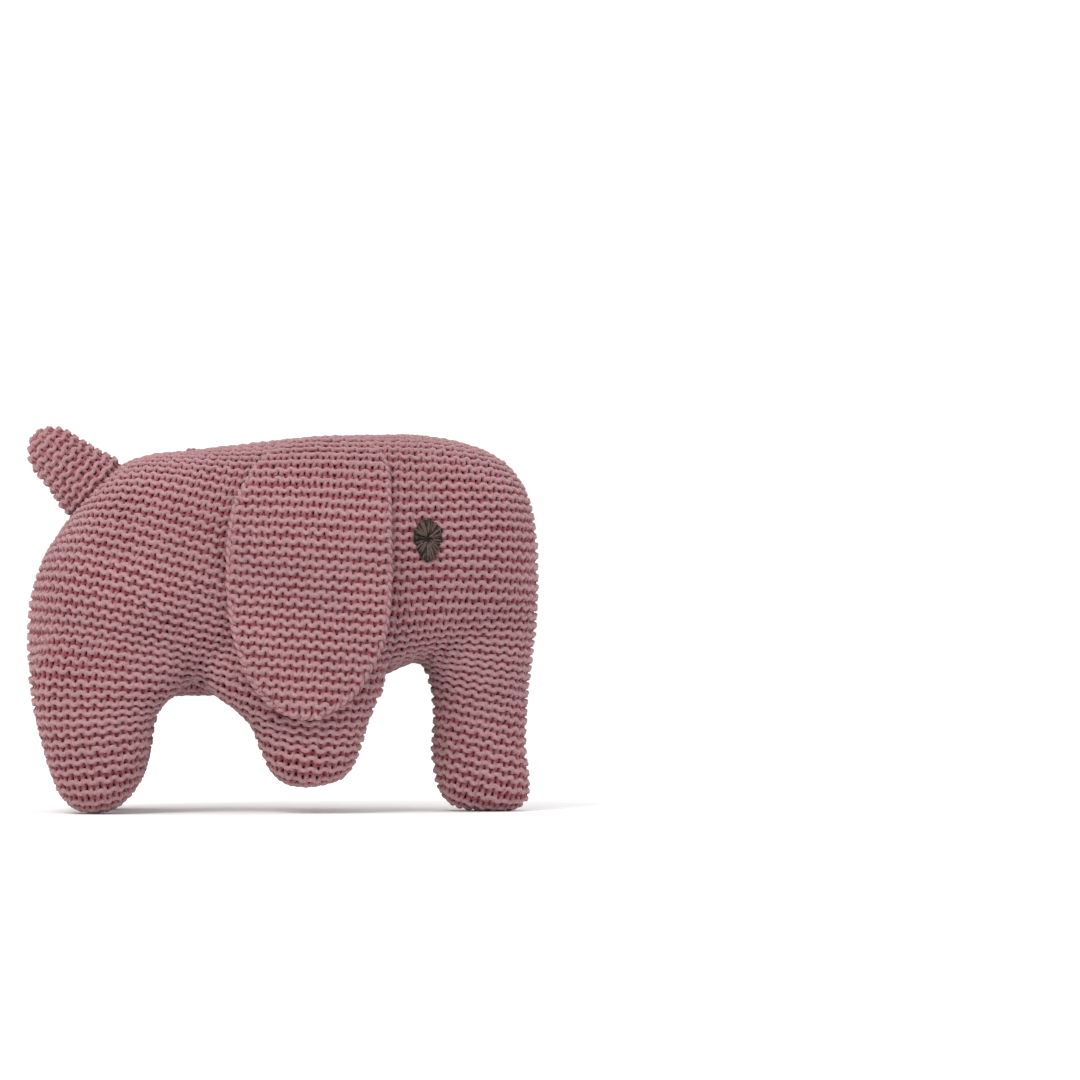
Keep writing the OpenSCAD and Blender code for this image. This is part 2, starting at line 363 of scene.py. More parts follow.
@dataclass
class StuffedShape:
    """The middle surface of the knitted skin: every part of the body in one soft form."""

    skin_depth: float = 2.0
    allowance: float = 1.3
    cell: float = 1.7
    rounding: int = 14
    easing: float = 0.6
    swell: float = 0.6
    plane_slack: float = 0.0002
    thinnest: float = 0.0001

    def build(self) -> Surface:
        """The right half of the shape, cut at the back seam and at the gusset's edges."""
        parts = [TORSO.solid("torso", self.skin_depth),
                 TRUNK.solid("trunk", self.skin_depth, self.skin_depth)]
        for word, stations in (("rear", REAR_LEG), ("front", FRONT_LEG)):
            leg = Loft(stations, middle_y=-LEG_OFFSET)
            parts.append(leg.solid(word, self.skin_depth, self.skin_depth))
        whole = self.join(parts)
        remesh = whole.modifiers.new("one_skin", "REMESH")
        remesh.mode = "VOXEL"
        remesh.voxel_size = self.cell * MM
        rough = read_mesh(whole)
        bpy.data.objects.remove(whole)
        return self.cut(self.relax(rough))

    @staticmethod
    def join(parts: list[bpy.types.Object]) -> bpy.types.Object:
        """Several mesh objects as one."""
        mesh = bpy.data.meshes.new("parts")
        joined = bmesh.new()
        for part in parts:
            joined.from_mesh(part.data)
            bpy.data.objects.remove(part)
        joined.to_mesh(mesh)
        joined.free()
        whole = bpy.data.objects.new("parts", mesh)
        bpy.context.scene.collection.objects.link(whole)
        return whole

    def relax(self, shape: Surface) -> Surface:
        """The shape with its creases rounded, and swollen a little to keep its size."""
        points = shape.points
        edges = np.unique(shape.edges(), axis=0)
        degree = np.bincount(edges.ravel(), minlength=len(points))[:, None]
        for _ in range(self.rounding):
            total = np.zeros_like(points)
            np.add.at(total, edges[:, 0], points[edges[:, 1]])
            np.add.at(total, edges[:, 1], points[edges[:, 0]])
            points = points + self.easing * (total / degree - points)
        relaxed = Surface(points, shape.triangles)
        relaxed.points = points + self.swell * relaxed.point_normals()
        return relaxed

    def cut(self, shape: Surface) -> Surface:
        """The half with negative Y, with clean edges along every seam."""
        mesh = bmesh.new()
        made = new_mesh("cutting", shape.points, shape.triangles)
        mesh.from_mesh(made.data)
        bpy.data.objects.remove(made)
        planes = [((0, 0, 0), (0, 1, 0), True)]
        for spare in (-self.allowance, self.allowance):
            planes += [((0, -LEG_OFFSET - spare, 0), (0, 1, 0), False),
                       ((0, 0, GUSSET_TOP + spare), (0, 0, 1), False),
                       ((GUSSET_BACK, 0, GUSSET_TOP + spare), (-BACK_FALL, 0, 1), False),
                       ((GUSSET_FRONT + spare, 0, 0), (1, 0, 0), False)]
        for place, normal, clear in planes:
            bmesh.ops.bisect_plane(mesh, geom=mesh.verts[:] + mesh.edges[:] + mesh.faces[:],
                                   dist=self.plane_slack, plane_co=Vector(place) * MM, plane_no=normal,
                                   clear_outer=clear)
        bmesh.ops.dissolve_degenerate(mesh, dist=self.thinnest, edges=mesh.edges[:])
        bmesh.ops.triangulate(mesh, faces=mesh.faces[:])
        points = np.array([v.co[:] for v in mesh.verts]) / MM
        triangles = np.array([[v.index for v in f.verts] for f in mesh.faces])
        mesh.free()
        return Surface(points, triangles)


# ---------------------------------------------------------------------------
# Fields over a panel: how the courses and the columns of stitches run
# ---------------------------------------------------------------------------


class Poisson:
    """Finds a smooth height over a surface whose slope follows a wanted direction."""

    WEIGHT_LIMITS = (0.02, 8.0)
    STEADY = 1e-9
    CLOSE_ENOUGH = 5e-12

    def __init__(self, surface: Surface) -> None:
        """Prepares the surface's cotangent weights."""
        self.surface = surface
        self.count = len(surface.points)
        tris = surface.triangles
        starts, ends, weights = [], [], []
        corners = surface.corners()
        for i in range(3):
            a, b, c = (corners[(i + k) % 3] for k in range(3))
            ab, ac = b - a, c - a
            cot = (ab * ac).sum(1) / np.maximum(np.linalg.norm(np.cross(ab, ac), axis=1), 1e-9)
            starts.append(tris[:, (i + 1) % 3])
            ends.append(tris[:, (i + 2) % 3])
            weights.append(np.clip(cot, *self.WEIGHT_LIMITS) / 2)
        self.start, self.end = np.concatenate(starts), np.concatenate(ends)
        self.weight = np.concatenate(weights)
        self.diagonal = (np.bincount(self.start, self.weight, self.count)
                         + np.bincount(self.end, self.weight, self.count)) + self.STEADY

    def apply(self, height: np.ndarray) -> np.ndarray:
        """The surface's Laplacian of a height."""
        gap = self.weight * (height[self.start] - height[self.end])
        return (np.bincount(self.start, gap, self.count)
                - np.bincount(self.end, gap, self.count)) + self.STEADY * height

    def solve(self, wanted: np.ndarray, start: np.ndarray | None = None, rounds: int = 900) -> np.ndarray:
        """The height whose slope is closest to the wanted one.

        Args:
            wanted: one slope vector for each triangle.
            start: a height to improve on.
            rounds: the most conjugate-gradient rounds to take.

        Returns:
            One height for each point.
        """
        points = self.surface.points
        step = points[self.start] - points[self.end]
        flow = self.weight * (step * np.concatenate([wanted] * 3)).sum(1)
        goal = np.bincount(self.start, flow, self.count) - np.bincount(self.end, flow, self.count)
        height = np.zeros(self.count) if start is None else start.copy()
        residual = goal - self.apply(height)
        ready = residual / self.diagonal
        heading = ready.copy()
        energy = residual @ ready
        limit = self.CLOSE_ENOUGH * self.count
        for _ in range(rounds):
            image = self.apply(heading)
            length = energy / (heading @ image)
            height += length * heading
            residual -= length * image
            ready = residual / self.diagonal
            after = residual @ ready
            if after < limit:
                break
            heading = ready + after / energy * heading
            energy = after
        return height

    def slope(self, height: np.ndarray) -> np.ndarray:
        """The slope of a height on every triangle."""
        normals = self.surface.face_normals()
        area2 = np.maximum((normals**2).sum(1, keepdims=True), 1e-12)
        corners = self.surface.corners()
        total = np.zeros_like(normals)
        for i in range(3):
            opposite = corners[(i + 2) % 3] - corners[(i + 1) % 3]
            total += height[self.surface.triangles[:, i]][:, None] * np.cross(normals, opposite)
        return total / area2


# Slope of the courses in degrees at places on the side panel: [x, z, slope]
COURSE_SLOPES = np.array([
    [-92, 95, -5], [-92, 60, -3], [-80, 112, -8], [-80, 80, -10], [-80, 50, -3], [-82, 24, 4],
    [-51, 40, 22], [-47, 50, 0], [-22, 45, -32], [-15, 37, -28],
    [-64, 20, 10], [-64, 38, 4], [-62, 118, -13], [-62, 92, -18], [-62, 60, -13], [-45, 122, -17],
    [-45, 90, -20], [-45, 60, -16], [-28, 100, -15], [-28, 60, -13], [6, 125, -5], [6, 70, -5],
    [8, 30, -3], [26, 26, 4], [42, 90, 10], [44, 128, -6], [60, 118, 8], [62, 88, -3],
    [76, 118, 5], [92, 100, -7], [76, 75, -4], [92, 70, -8], [70, 45, -11], [66, 26, -20],
    [88, 40, -9], [82, 18, -16],
])
SLOPE_REACH = 15.0
ARCH_GATHER = 0.3
STRETCH_LIMITS = (0.65, 1.5)


@dataclass(frozen=True)
class Arch:
    """An arch between two legs, over which the courses are drawn together."""

    x: float
    spread: tuple[float, float]
    height: tuple[float, float]

    def gather(self, x: np.ndarray, z: np.ndarray) -> np.ndarray:
        """How much the arch gathers the courses at places, from 0 to 1."""
        return smooth_step(*self.spread, np.abs(x - self.x)) * smooth_step(*self.height, z)


BELLY = Arch(-36, (26, 10), (70, 52))
THROAT = Arch(49, (18, 8), (82, 62))


def course_slope(points: np.ndarray) -> np.ndarray:
    """The slope of the courses, in radians, at points seen from the side."""
    gap = points[:, None, [0, 2]] - COURSE_SLOPES[None, :, :2]
    weight = np.exp(-(gap**2).sum(-1) / (2 * SLOPE_REACH**2)) + 1e-9
    return np.radians((weight * COURSE_SLOPES[:, 2]).sum(1) / weight.sum(1))


@dataclass
class Panel:
    """A piece of fabric: its surface, how high up the courses each point is, and how far along.

    The stretch says how far apart the courses lie at each point, where 1 is the plain gauge.
    """

    surface: Surface
    rise: np.ndarray
    run: np.ndarray
    stretch: np.ndarray

    @classmethod
    def fit(cls, surface: Surface, upward: np.ndarray, density: np.ndarray | float = 1.0,
            give: tuple[float, float] = (0.85, 1.3), rounds: int = 8) -> "Panel":
        """Lays courses over a surface.

        Args:
            surface: the surface that the fabric covers.
            upward: for each triangle, the way the knitting grew.
            density: how closely the courses lie, for each triangle.
            give: how far the courses may spread and squeeze to keep their direction.
            rounds: how often the directions are improved.

        Returns:
            The panel, with its rise and run in millimetres.
        """
        normals = unit(surface.face_normals())
        wanted = unit(upward - (upward * normals).sum(1, keepdims=True) * normals)
        solver = Poisson(surface)
        density = np.broadcast_to(density, len(wanted))
        rise = solver.solve(wanted * density[:, None])
        for _ in range(rounds):
            size = np.clip(np.linalg.norm(solver.slope(rise), axis=1) / density, *give) * density
            rise = solver.solve(wanted * size[:, None], rise)
        slope = solver.slope(rise)
        sideways = unit(np.cross(unit(slope), normals))
        run = solver.solve(sideways)
        size = np.linalg.norm(slope, axis=1)
        share = np.zeros(len(rise))
        uses = np.bincount(surface.triangles.ravel(), minlength=len(rise))
        for i in range(3):
            share += np.bincount(surface.triangles[:, i], size, len(rise))
        return cls(surface, rise, run, np.clip(uses / np.maximum(share, 1e-9), *STRETCH_LIMITS))


def outline_order(pairs: np.ndarray) -> list[list[int]]:
    """Chains of numbers made from pairs that share them.

    Args:
        pairs: rows of two numbers, each row a link.

    Returns:
        Each open or closed chain, as a list.
    """
    links: dict[int, list[int]] = {}
    for a, b in pairs:
        links.setdefault(int(a), []).append(int(b))
        links.setdefault(int(b), []).append(int(a))
    chains = []
    ends = [k for k, v in links.items() if len(v) == 1]
    seen: set[int] = set()
    for start in ends + list(links):
        if start in seen:
            continue
        chain = [start]
        seen.add(start)
        while True:
            onward = [n for n in links[chain[-1]] if n not in seen]
            if not onward:
                break
            chain.append(onward[0])
            seen.add(onward[0])
        if len(chain) > 1:
            chains.append(chain)
    return chains


@dataclass
class Strand:
    """One course's middle line: places, normals, distances along it, and the stretch there."""

    places: np.ndarray
    normals: np.ndarray
    run: np.ndarray
    stretch: np.ndarray


def course_lines(panel: Panel, level: float, normals: np.ndarray) -> list[Strand]:
    """The lines where a panel's rise has one value.

    Args:
        panel: the fabric.
        level: the rise.
        normals: the surface's normals at its points.

    Returns:
        One strand for each separate stretch of the line, each running forward.
    """
    above = panel.rise[panel.surface.triangles] > level
    crossing = np.flatnonzero(above.any(1) & ~above.all(1))
    if not len(crossing):
        return []
    tris = panel.surface.triangles[crossing]
    keys, shares = [], []
    for i in range(3):
        a, b = tris[:, i], tris[:, (i + 1) % 3]
        low, high = np.minimum(a, b), np.maximum(a, b)
        cut = above[crossing][:, i] != above[crossing][:, (i + 1) % 3]
        keys.append(np.where(cut, low * len(panel.rise) + high, -1))
    found = np.stack(keys, 1)
    pairs = found[found >= 0].reshape(-1, 2)
    edge = np.unique(pairs)
    low, high = edge // len(panel.rise), edge % len(panel.rise)
    share = ((level - panel.rise[low]) / (panel.rise[high] - panel.rise[low]))[:, None]

    def between(values: np.ndarray) -> np.ndarray:
        """Values at the cut edges."""
        mix = share if values.ndim > 1 else share[:, 0]
        return values[low] * (1 - mix) + values[high] * mix

    places, tilt, run = between(panel.surface.points), between(normals), between(panel.run)
    stretch = between(panel.stretch)
    strands = []
    for chain in outline_order(np.searchsorted(edge, pairs)):
        order = np.array(chain)
        if run[order[-1]] < run[order[0]]:
            order = order[::-1]
        along = np.maximum.accumulate(run[order])
        fresh = np.concatenate([[True], np.diff(along) > 1e-4])
        if fresh.sum() > 2:
            strands.append(Strand(places[order][fresh], unit(tilt[order][fresh]), along[fresh],
                                  stretch[order][fresh]))
    return strands


# ---------------------------------------------------------------------------
# Yarn
# ---------------------------------------------------------------------------


@dataclass(frozen=True)
class Gauge:
    """The size of the stitches, in millimetres."""

    stitch: float = 4.9
    course: float = 2.0
    yarn: float = 1.98
    loop_rise: float = 1.6
    loop_depth: float = 1.0
    waist: float = 0.36
    steps: int = 12
    sides: int = 6
    unevenness: float = 0.18
    uneven_depth: float = 0.7
    uneven_yarn: float = 0.3


# How thin the yarn is at a cut end, as a share of its own thickness
YARN_END = 0.35


@dataclass
class YarnMesh:
    """Tubes of yarn collected into one mesh.

    Every face corner carries how far along the yarn it is, how far round, and how far it
    stands out of the fabric, which the yarn's finish reads for its plies and its painted shade.
    """

    points: list[np.ndarray] = field(default_factory=list)
    faces: list[np.ndarray] = field(default_factory=list)
    corners: list[np.ndarray] = field(default_factory=list)
    count: int = 0

    def tube(self, path: np.ndarray, normals: np.ndarray, radius: np.ndarray, sides: int = 6,
             ground: np.ndarray | None = None) -> None:
        """Adds a tube of yarn with tapered ends.

        Args:
            path: the middle line.
            normals: the way out of the fabric at each point.
            radius: the yarn's radius at each point.
            sides: how many sides the tube has.
            ground: the middle of the fabric at each point, where it isn't the path.
        """
        if len(path) < 4:
            return
        radius = np.broadcast_to(radius, len(path)).copy()
        radius[[0, -1]] *= YARN_END
        ahead = unit(np.gradient(path, axis=0))
        side = unit(np.cross(ahead, normals))
        up = np.cross(side, ahead)
        angle = round_angles(sides)
        ring = side[:, None] * np.cos(angle)[None, :, None] + up[:, None] * np.sin(angle)[None, :, None]
        shell = path[:, None] + ring * radius[:, None, None]
        ground = path if ground is None else ground
        out = ((shell - ground[:, None]) * normals[:, None]).sum(-1)
        along = length_along(path)
        n = len(path)
        low = np.arange(n - 1)[:, None] * sides + np.arange(sides)
        beside = np.roll(low, -1, axis=1)
        quads = np.stack([low, beside, beside + sides, low + sides], -1).reshape(-1, 4)
        turn = np.arange(sides) / sides
        lengths = np.stack([along[:-1], along[:-1], along[1:], along[1:]], -1)[:, None]
        turns = np.stack([turn, turn + 1 / sides, turn + 1 / sides, turn], -1)[None]
        values = np.stack([np.broadcast_to(lengths, (n - 1, sides, 4)).reshape(-1, 4),
                           np.broadcast_to(turns, (n - 1, sides, 4)).reshape(-1, 4),
                           out.reshape(-1)[quads]], -1)
        self.points.append(shell.reshape(-1, 3))
        self.faces.append(quads + self.count)
        self.corners.append(values)
        self.count += n * sides

    def piece(self, name: str, side: Side = Side.RIGHT) -> bpy.types.Object:
        """The collected yarn as one object.

        Args:
            name: the piece's name.
            side: the side of the toy; the left is the right's mirror image.

        Returns:
            The object.
        """
        points, faces = on_side(side, np.vstack(self.points), np.vstack(self.faces))
        values = np.vstack(self.corners)
        if side is Side.LEFT:
            values = values[:, ::-1]
        made = new_mesh(name, points, faces)
        layer = made.data.attributes.new("yarn", "FLOAT_VECTOR", "CORNER")
        layer.data.foreach_set("vector", np.ascontiguousarray(values, np.float32).ravel())
        return made


@dataclass
class Garter:
    """Garter stitch over a panel."""

    gauge: Gauge = Gauge()

    def knit(self, panel: Panel, first: float, last: float, seed: int) -> YarnMesh:
        """The yarn of some courses of a panel.

        Args:
            panel: the fabric to knit.
            first: the rise at which the courses start.
            last: the rise at which they end.
            seed: the seed of the knitting's unevenness.

        Returns:
            The yarn.
        """
        chance = np.random.default_rng(seed)
        normals = panel.surface.point_normals()
        yarn = YarnMesh()
        for number in range(math.ceil(first / self.gauge.course), math.ceil(last / self.gauge.course)):
            facing = Facing.HEADS_OUT if number % 2 == 0 else Facing.FEET_OUT
            level = (number + 0.5) * self.gauge.course
            for strand in course_lines(panel, level, normals):
                self.course(yarn, strand, facing, chance)
        return yarn

    def course(self, yarn: YarnMesh, strand: Strand, facing: Facing, chance: np.random.Generator) -> None:
        """Adds one course of loops.

        Args:
            yarn: the yarn to add to.
            strand: the course's middle line.
            facing: which part of the loops stands out.
            chance: the source of the unevenness.
        """
        g = self.gauge
        step = g.stitch / g.steps
        number = np.arange(math.ceil(strand.run[0] / step), math.floor(strand.run[-1] / step) + 1)
        if len(number) < 5:
            return
        phase = 2 * math.pi * number / g.steps
        stitch = number // g.steps
        jitter = chance.normal(0, g.unevenness, (stitch[-1] - stitch[0] + 2, 4))
        share = (number / g.steps - stitch)[:, None]
        share = smooth_step(0, 1, share)
        wobble = jitter[stitch - stitch[0]] * (1 - share) + jitter[stitch - stitch[0] + 1] * share
        along = number * step + g.waist * np.sin(2 * phase) + wobble[:, 3]
        along = np.clip(along, strand.run[0], strand.run[-1])
        place = vectors_at(along, strand.run, strand.places)
        normal = unit(vectors_at(along, strand.run, strand.normals))
        ahead = np.gradient(vectors_at(number * step, strand.run, strand.places), axis=0)
        upward = unit(np.cross(normal, unit(ahead)))
        spread = np.interp(along, strand.run, strand.stretch)
        rise = g.loop_rise * spread * np.cos(phase) + wobble[:, 0]
        depth = facing.value * g.loop_depth * np.cos(phase) + g.uneven_depth * wobble[:, 1]
        path = place + upward * rise[:, None] + normal * depth[:, None]
        yarn.tube(path, normal, g.yarn / 2 * (1 + g.uneven_yarn * wobble[:, 2]), g.sides, place)


# ---------------------------------------------------------------------------
# Finishes
# ---------------------------------------------------------------------------


Colour = tuple[float, float, float]


def darker(colour: Colour, share: float) -> Colour:
    """A colour with only a share of its light."""
    return tuple(share * part for part in colour)


class Graph:
    """Adds shader nodes to one material."""

    def __init__(self, name: str) -> None:
        """Starts a material with an empty graph and a principled shader."""
        self.material = bpy.data.materials.new(name)
        self.material.use_nodes = True
        self.tree = self.material.node_tree
        self.shader = self.tree.nodes["Principled BSDF"]

    def add(self, kind: str, **settings: object) -> bpy.types.Node:
        """A node of one kind with its settings."""
        node = self.tree.nodes.new(kind)
        for key, value in settings.items():
            setattr(node, key, value)
        return node

    def join(self, value: object, socket: bpy.types.NodeSocket) -> None:
        """Links an output to a socket, or sets the socket to a plain value."""
        if isinstance(value, bpy.types.NodeSocket):
            self.tree.links.new(value, socket)
        elif isinstance(value, tuple) and len(value) == 3 and len(socket.default_value) == 4:
            socket.default_value = (*value, 1)
        else:
            socket.default_value = value

    def math(self, operation: str, a: object, b: object = 0.0) -> bpy.types.NodeSocket:
        """The result of a sum on one or two values."""
        node = self.add("ShaderNodeMath", operation=operation)
        self.join(a, node.inputs[0])
        self.join(b, node.inputs[1])
        return node.outputs[0]

    def ramp(self, value: object, low: float, high: float, start: float = 0.0,
             end: float = 1.0) -> bpy.types.NodeSocket:
        """A value mapped softly from low..high to start..end."""
        node = self.add("ShaderNodeMapRange", interpolation_type="SMOOTHSTEP")
        for socket, given in zip(node.inputs, (value, low, high, start, end)):
            self.join(given, socket)
        return node.outputs[0]

    def mix(self, share: object, a: object, b: object, blend: str = "MIX") -> bpy.types.NodeSocket:
        """Two colours mixed."""
        node = self.add("ShaderNodeMix", data_type="RGBA", blend_type=blend)
        for socket, given in zip((node.inputs[0], node.inputs[6], node.inputs[7]), (share, a, b)):
            self.join(given, socket)
        return node.outputs[2]

    def noise(self, scale: float, detail: float = 2.0, place: bpy.types.NodeSocket | None = None,
              roughness: float = 0.5) -> bpy.types.NodeSocket:
        """A noise pattern over the object, in repeats per metre."""
        node = self.add("ShaderNodeTexNoise")
        if place is None:
            place = self.add("ShaderNodeTexCoord").outputs["Object"]
        self.join(place, node.inputs["Vector"])
        self.join(scale, node.inputs["Scale"])
        self.join(detail, node.inputs["Detail"])
        self.join(roughness, node.inputs["Roughness"])
        return node.outputs["Fac"]

    def bump(self, height: object, strength: float, distance: float) -> None:
        """Gives the shader a bump from a height."""
        node = self.add("ShaderNodeBump")
        self.join(strength, node.inputs["Strength"])
        self.join(distance, node.inputs["Distance"])
        self.join(height, node.inputs["Height"])
        self.join(node.outputs[0], self.shader.inputs["Normal"])

    def surface(self, **values: object) -> None:
        """Sets the shader's own sockets by name, with _ for a space."""
        for key, value in values.items():
            self.join(value, self.shader.inputs[key.replace("_", " ")])


@dataclass(frozen=True)
class YarnFinish:
    """Spun yarn: plies twisted together, soft fibres, and painted shade, a deeper colour where it dips into
    the fabric.
    """

    name: str
    light: Colour
    # The deep colour is painted shade for yarn that dips into the fabric, between the stitches.
    painted_groove_shade: Colour
    heather: Colour
    # Reach scales the heights out of the fabric over which the painted shade fades into the yarn's own
    # colour.
    reach: float = 1.9
    ply_lay: float = 3.4
    plies: int = 3
    sheen: float = 0.35
    fibre_scale: float = 2600
    fleck_scale: float = 420
    patch_scale: float = 28
    # The start and end of the painted shade's fade, as shares of the reach.
    painted_shade_ramp: tuple[float, float] = (-0.4, 0.85)

    def material(self) -> bpy.types.Material:
        """The yarn's material."""
        g = Graph(self.name)
        yarn = g.add("ShaderNodeAttribute", attribute_name="yarn").outputs["Vector"]
        parts = g.add("ShaderNodeSeparateXYZ")
        g.join(yarn, parts.inputs[0])
        along, turn, out = parts.outputs
        twist = g.math("ADD", g.math("MULTIPLY", along, 2 * math.pi / self.ply_lay),
                       g.math("MULTIPLY", turn, 2 * math.pi * self.plies))
        ply = g.math("ABSOLUTE", g.math("SINE", g.math("MULTIPLY", twist, 0.5)))
        fibre = g.noise(self.fibre_scale, 3.0, roughness=0.65)
        fleck = g.noise(self.fleck_scale, 2.0)
        patch = g.noise(self.patch_scale, 2.0)
        # Painted shade: yarn lying deeper in the fabric gets more of the deep colour, mixed in twice.
        painted_shade_ramp = g.ramp(g.math("ADD", out, g.math("MULTIPLY", g.math("SUBTRACT", fleck, 0.5), 0.9)),
                        *(share * self.reach for share in self.painted_shade_ramp))
        colour = g.mix(painted_shade_ramp, self.painted_groove_shade, self.light)
        colour = g.mix(g.ramp(fleck, 0.38, 0.68, 0.0, 0.55), colour, self.heather)
        colour = g.mix(painted_shade_ramp, self.painted_groove_shade, colour)
        # Random patches and fibres of tone, with painted shade in the valleys between the plies.
        tone_and_ply_shade = g.math("MULTIPLY", g.ramp(patch, 0.3, 0.7, 0.93, 1.05), g.ramp(ply, 0.0, 0.5, 0.86, 1.0))
        tone_and_ply_shade = g.math("MULTIPLY", tone_and_ply_shade, g.ramp(fibre, 0.3, 0.7, 0.9, 1.08))
        tone = g.add("ShaderNodeCombineColor")
        for socket in tone.inputs:
            g.join(tone_and_ply_shade, socket)
        g.surface(Base_Color=g.mix(1.0, colour, tone.outputs[0], "MULTIPLY"),
                  Roughness=g.ramp(fibre, 0.2, 0.8, 0.82, 0.98), Specular_IOR_Level=0.22,
                  Sheen_Weight=self.sheen, Sheen_Roughness=0.45,
                  Sheen_Tint=(0.95, 0.78, 0.78))
        g.bump(g.math("ADD", g.math("MULTIPLY", ply, 0.8), g.math("MULTIPLY", fibre, 0.7)), 0.75, 0.00035)
        return g.material


@dataclass(frozen=True)
class PaintedShadeSheetFinish:
    """A sheet behind yarn, seen only through its holes, coloured with painted shade."""

    name: str
    colour: Colour

    def material(self) -> bpy.types.Material:
        """The painted shade sheet's material."""
        g = Graph(self.name)
        loops = g.noise(450, 3.0)
        # Painted shade, mottled by a loop-sized noise towards a darker painted shade.
        g.surface(Base_Color=g.mix(g.ramp(loops, 0.3, 0.7), self.colour, darker(self.colour, 0.62)),
                  Roughness=0.95, Specular_IOR_Level=0.15, Sheen_Weight=0.2)
        g.bump(loops, 0.8, 0.0006)
        return g.material


@dataclass(frozen=True)
class FibreFinish:
    """Loose white fibre filling."""

    name: str
    colour: Colour

    def material(self) -> bpy.types.Material:
        """The filling's material."""
        g = Graph(self.name)
        tufts, hairs = g.noise(160, 4.0, roughness=0.7), g.noise(1500, 2.0)
        g.surface(Base_Color=g.mix(g.ramp(tufts, 0.3, 0.7), self.colour, darker(self.colour, 0.86)),
                  Roughness=0.95, Sheen_Weight=0.4, Subsurface_Weight=0.15,
                  Subsurface_Radius=(0.004, 0.004, 0.004))
        g.bump(g.math("ADD", tufts, g.math("MULTIPLY", hairs, 0.4)), 0.9, 0.0015)
        return g.material


@dataclass(frozen=True)
class PaperFinish:
    """Plain pale studio paper."""

    name: str
    colour: Colour

    def material(self) -> bpy.types.Material:
        """The paper's material."""
        g = Graph(self.name)
        g.surface(Base_Color=self.colour, Roughness=0.9, Specular_IOR_Level=0.1)
        g.bump(g.noise(900, 3.0), 0.05, 0.0002)
        return g.material


Finish = YarnFinish | PaintedShadeSheetFinish | FibreFinish | PaperFinish

# Each yarn: its own colour, painted shade for where it dips into the fabric, and its heather colour.
PINK_YARN = YarnFinish("pink_yarn", (0.355, 0.186, 0.199), (0.235, 0.034, 0.050), (0.310, 0.190, 0.198))
SEAM_YARN = YarnFinish("seam_yarn", (0.300, 0.100, 0.115), (0.140, 0.018, 0.026), (0.260, 0.110, 0.125),
                       reach=1.2)
EYE_YARN = YarnFinish("eye_yarn", (0.098, 0.066, 0.050), (0.005, 0.002, 0.002), (0.078, 0.050, 0.046),
                      reach=0.55, ply_lay=2.0, plies=2, sheen=0.03)
# The dark crimson seen through the knitting's holes: painted shade on a sheet behind the yarn.
PAINTED_SHADE_SHEET = PaintedShadeSheetFinish("knit_inner_face", (0.140, 0.016, 0.026))
# Eye ground: the eye yarn's own dark brown, darker still as painted shade in the gaps between strands and in
# the middle hole.
EYE_BACK = PaintedShadeSheetFinish("eye_ground", (0.030, 0.022, 0.022))
FILLING = FibreFinish("fibre_filling", (0.86, 0.85, 0.82))
PAPER = PaperFinish("studio_paper", (0.95, 0.95, 0.95))


class Wardrobe:
    """Makes each finish's material once and gives it to pieces."""

    def __init__(self) -> None:
        """Starts with no materials made."""
        self.made: dict[str, bpy.types.Material] = {}

    def dress(self, piece: bpy.types.Object, finish: Finish, slot: Slot | None = None) -> bpy.types.Object:
        """Gives a piece its material.

        Args:
            piece: the piece.
            finish: its finish.
            slot: the record's slot for it, if it is part of the toy; not used.

        Returns:
            The same piece.
        """
        if finish.name not in self.made:
            self.made[finish.name] = finish.material()
        piece.data.materials.clear()
        piece.data.materials.append(self.made[finish.name])
        return piece

    def fix(self, piece: bpy.types.Object, finish: Finish, slot: Slot, node: str) -> bpy.types.Object:
        """Dresses a piece, fixes it to the toy's body and hides the CAD part it stands for.

        Args:
            piece: the piece.
            finish: its finish.
            slot: the record's slot for it.
            node: the node it stands for.

        Returns:
            The same piece.
        """
        self.dress(piece, finish, slot)
        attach(piece, BODY)
        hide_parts(node)
        report(piece)
        return piece

    def bend(self, piece: bpy.types.Object, finish: Finish, slot: Slot, node: str, body: str,
             reach: tuple[Vector, Vector]) -> bpy.types.Object:
        """Dresses a piece, bakes its placement into its mesh and hides the CAD part it stands for.

        Args:
            piece: the piece.
            finish: its finish.
            slot: the record's slot for it.
            node: the node it stands for.
            body: the moving body; not used.
            reach: where the bend starts and where it ends; not used.

        Returns:
            The same piece.
        """
        self.dress(piece, finish, slot)
        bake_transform(piece)
        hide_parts(node)
        report(piece)
        return piece


def report(piece: bpy.types.Object) -> None:
    """Logs a finished piece and its size."""
    size = [round(float(d) / MM) for d in piece.dimensions]
    log.info("made %s: %d faces, %s mm", piece.name, len(piece.data.polygons), size)


def open_sheet(name: str, surface: Surface, inward: float, side: Side) -> bpy.types.Object:
    """A plain sheet a little way behind the fabric's middle, for the painted shade seen through its holes.
    """
    points = surface.points - inward * surface.point_normals()
    return new_mesh(name, *on_side(side, points, surface.triangles))


# ---------------------------------------------------------------------------
# The skin of the body
# ---------------------------------------------------------------------------


def middle_of(surface: Surface) -> np.ndarray:
    """The middle of every triangle."""
    a, b, c = surface.corners()
    return (a + b + c) / 3


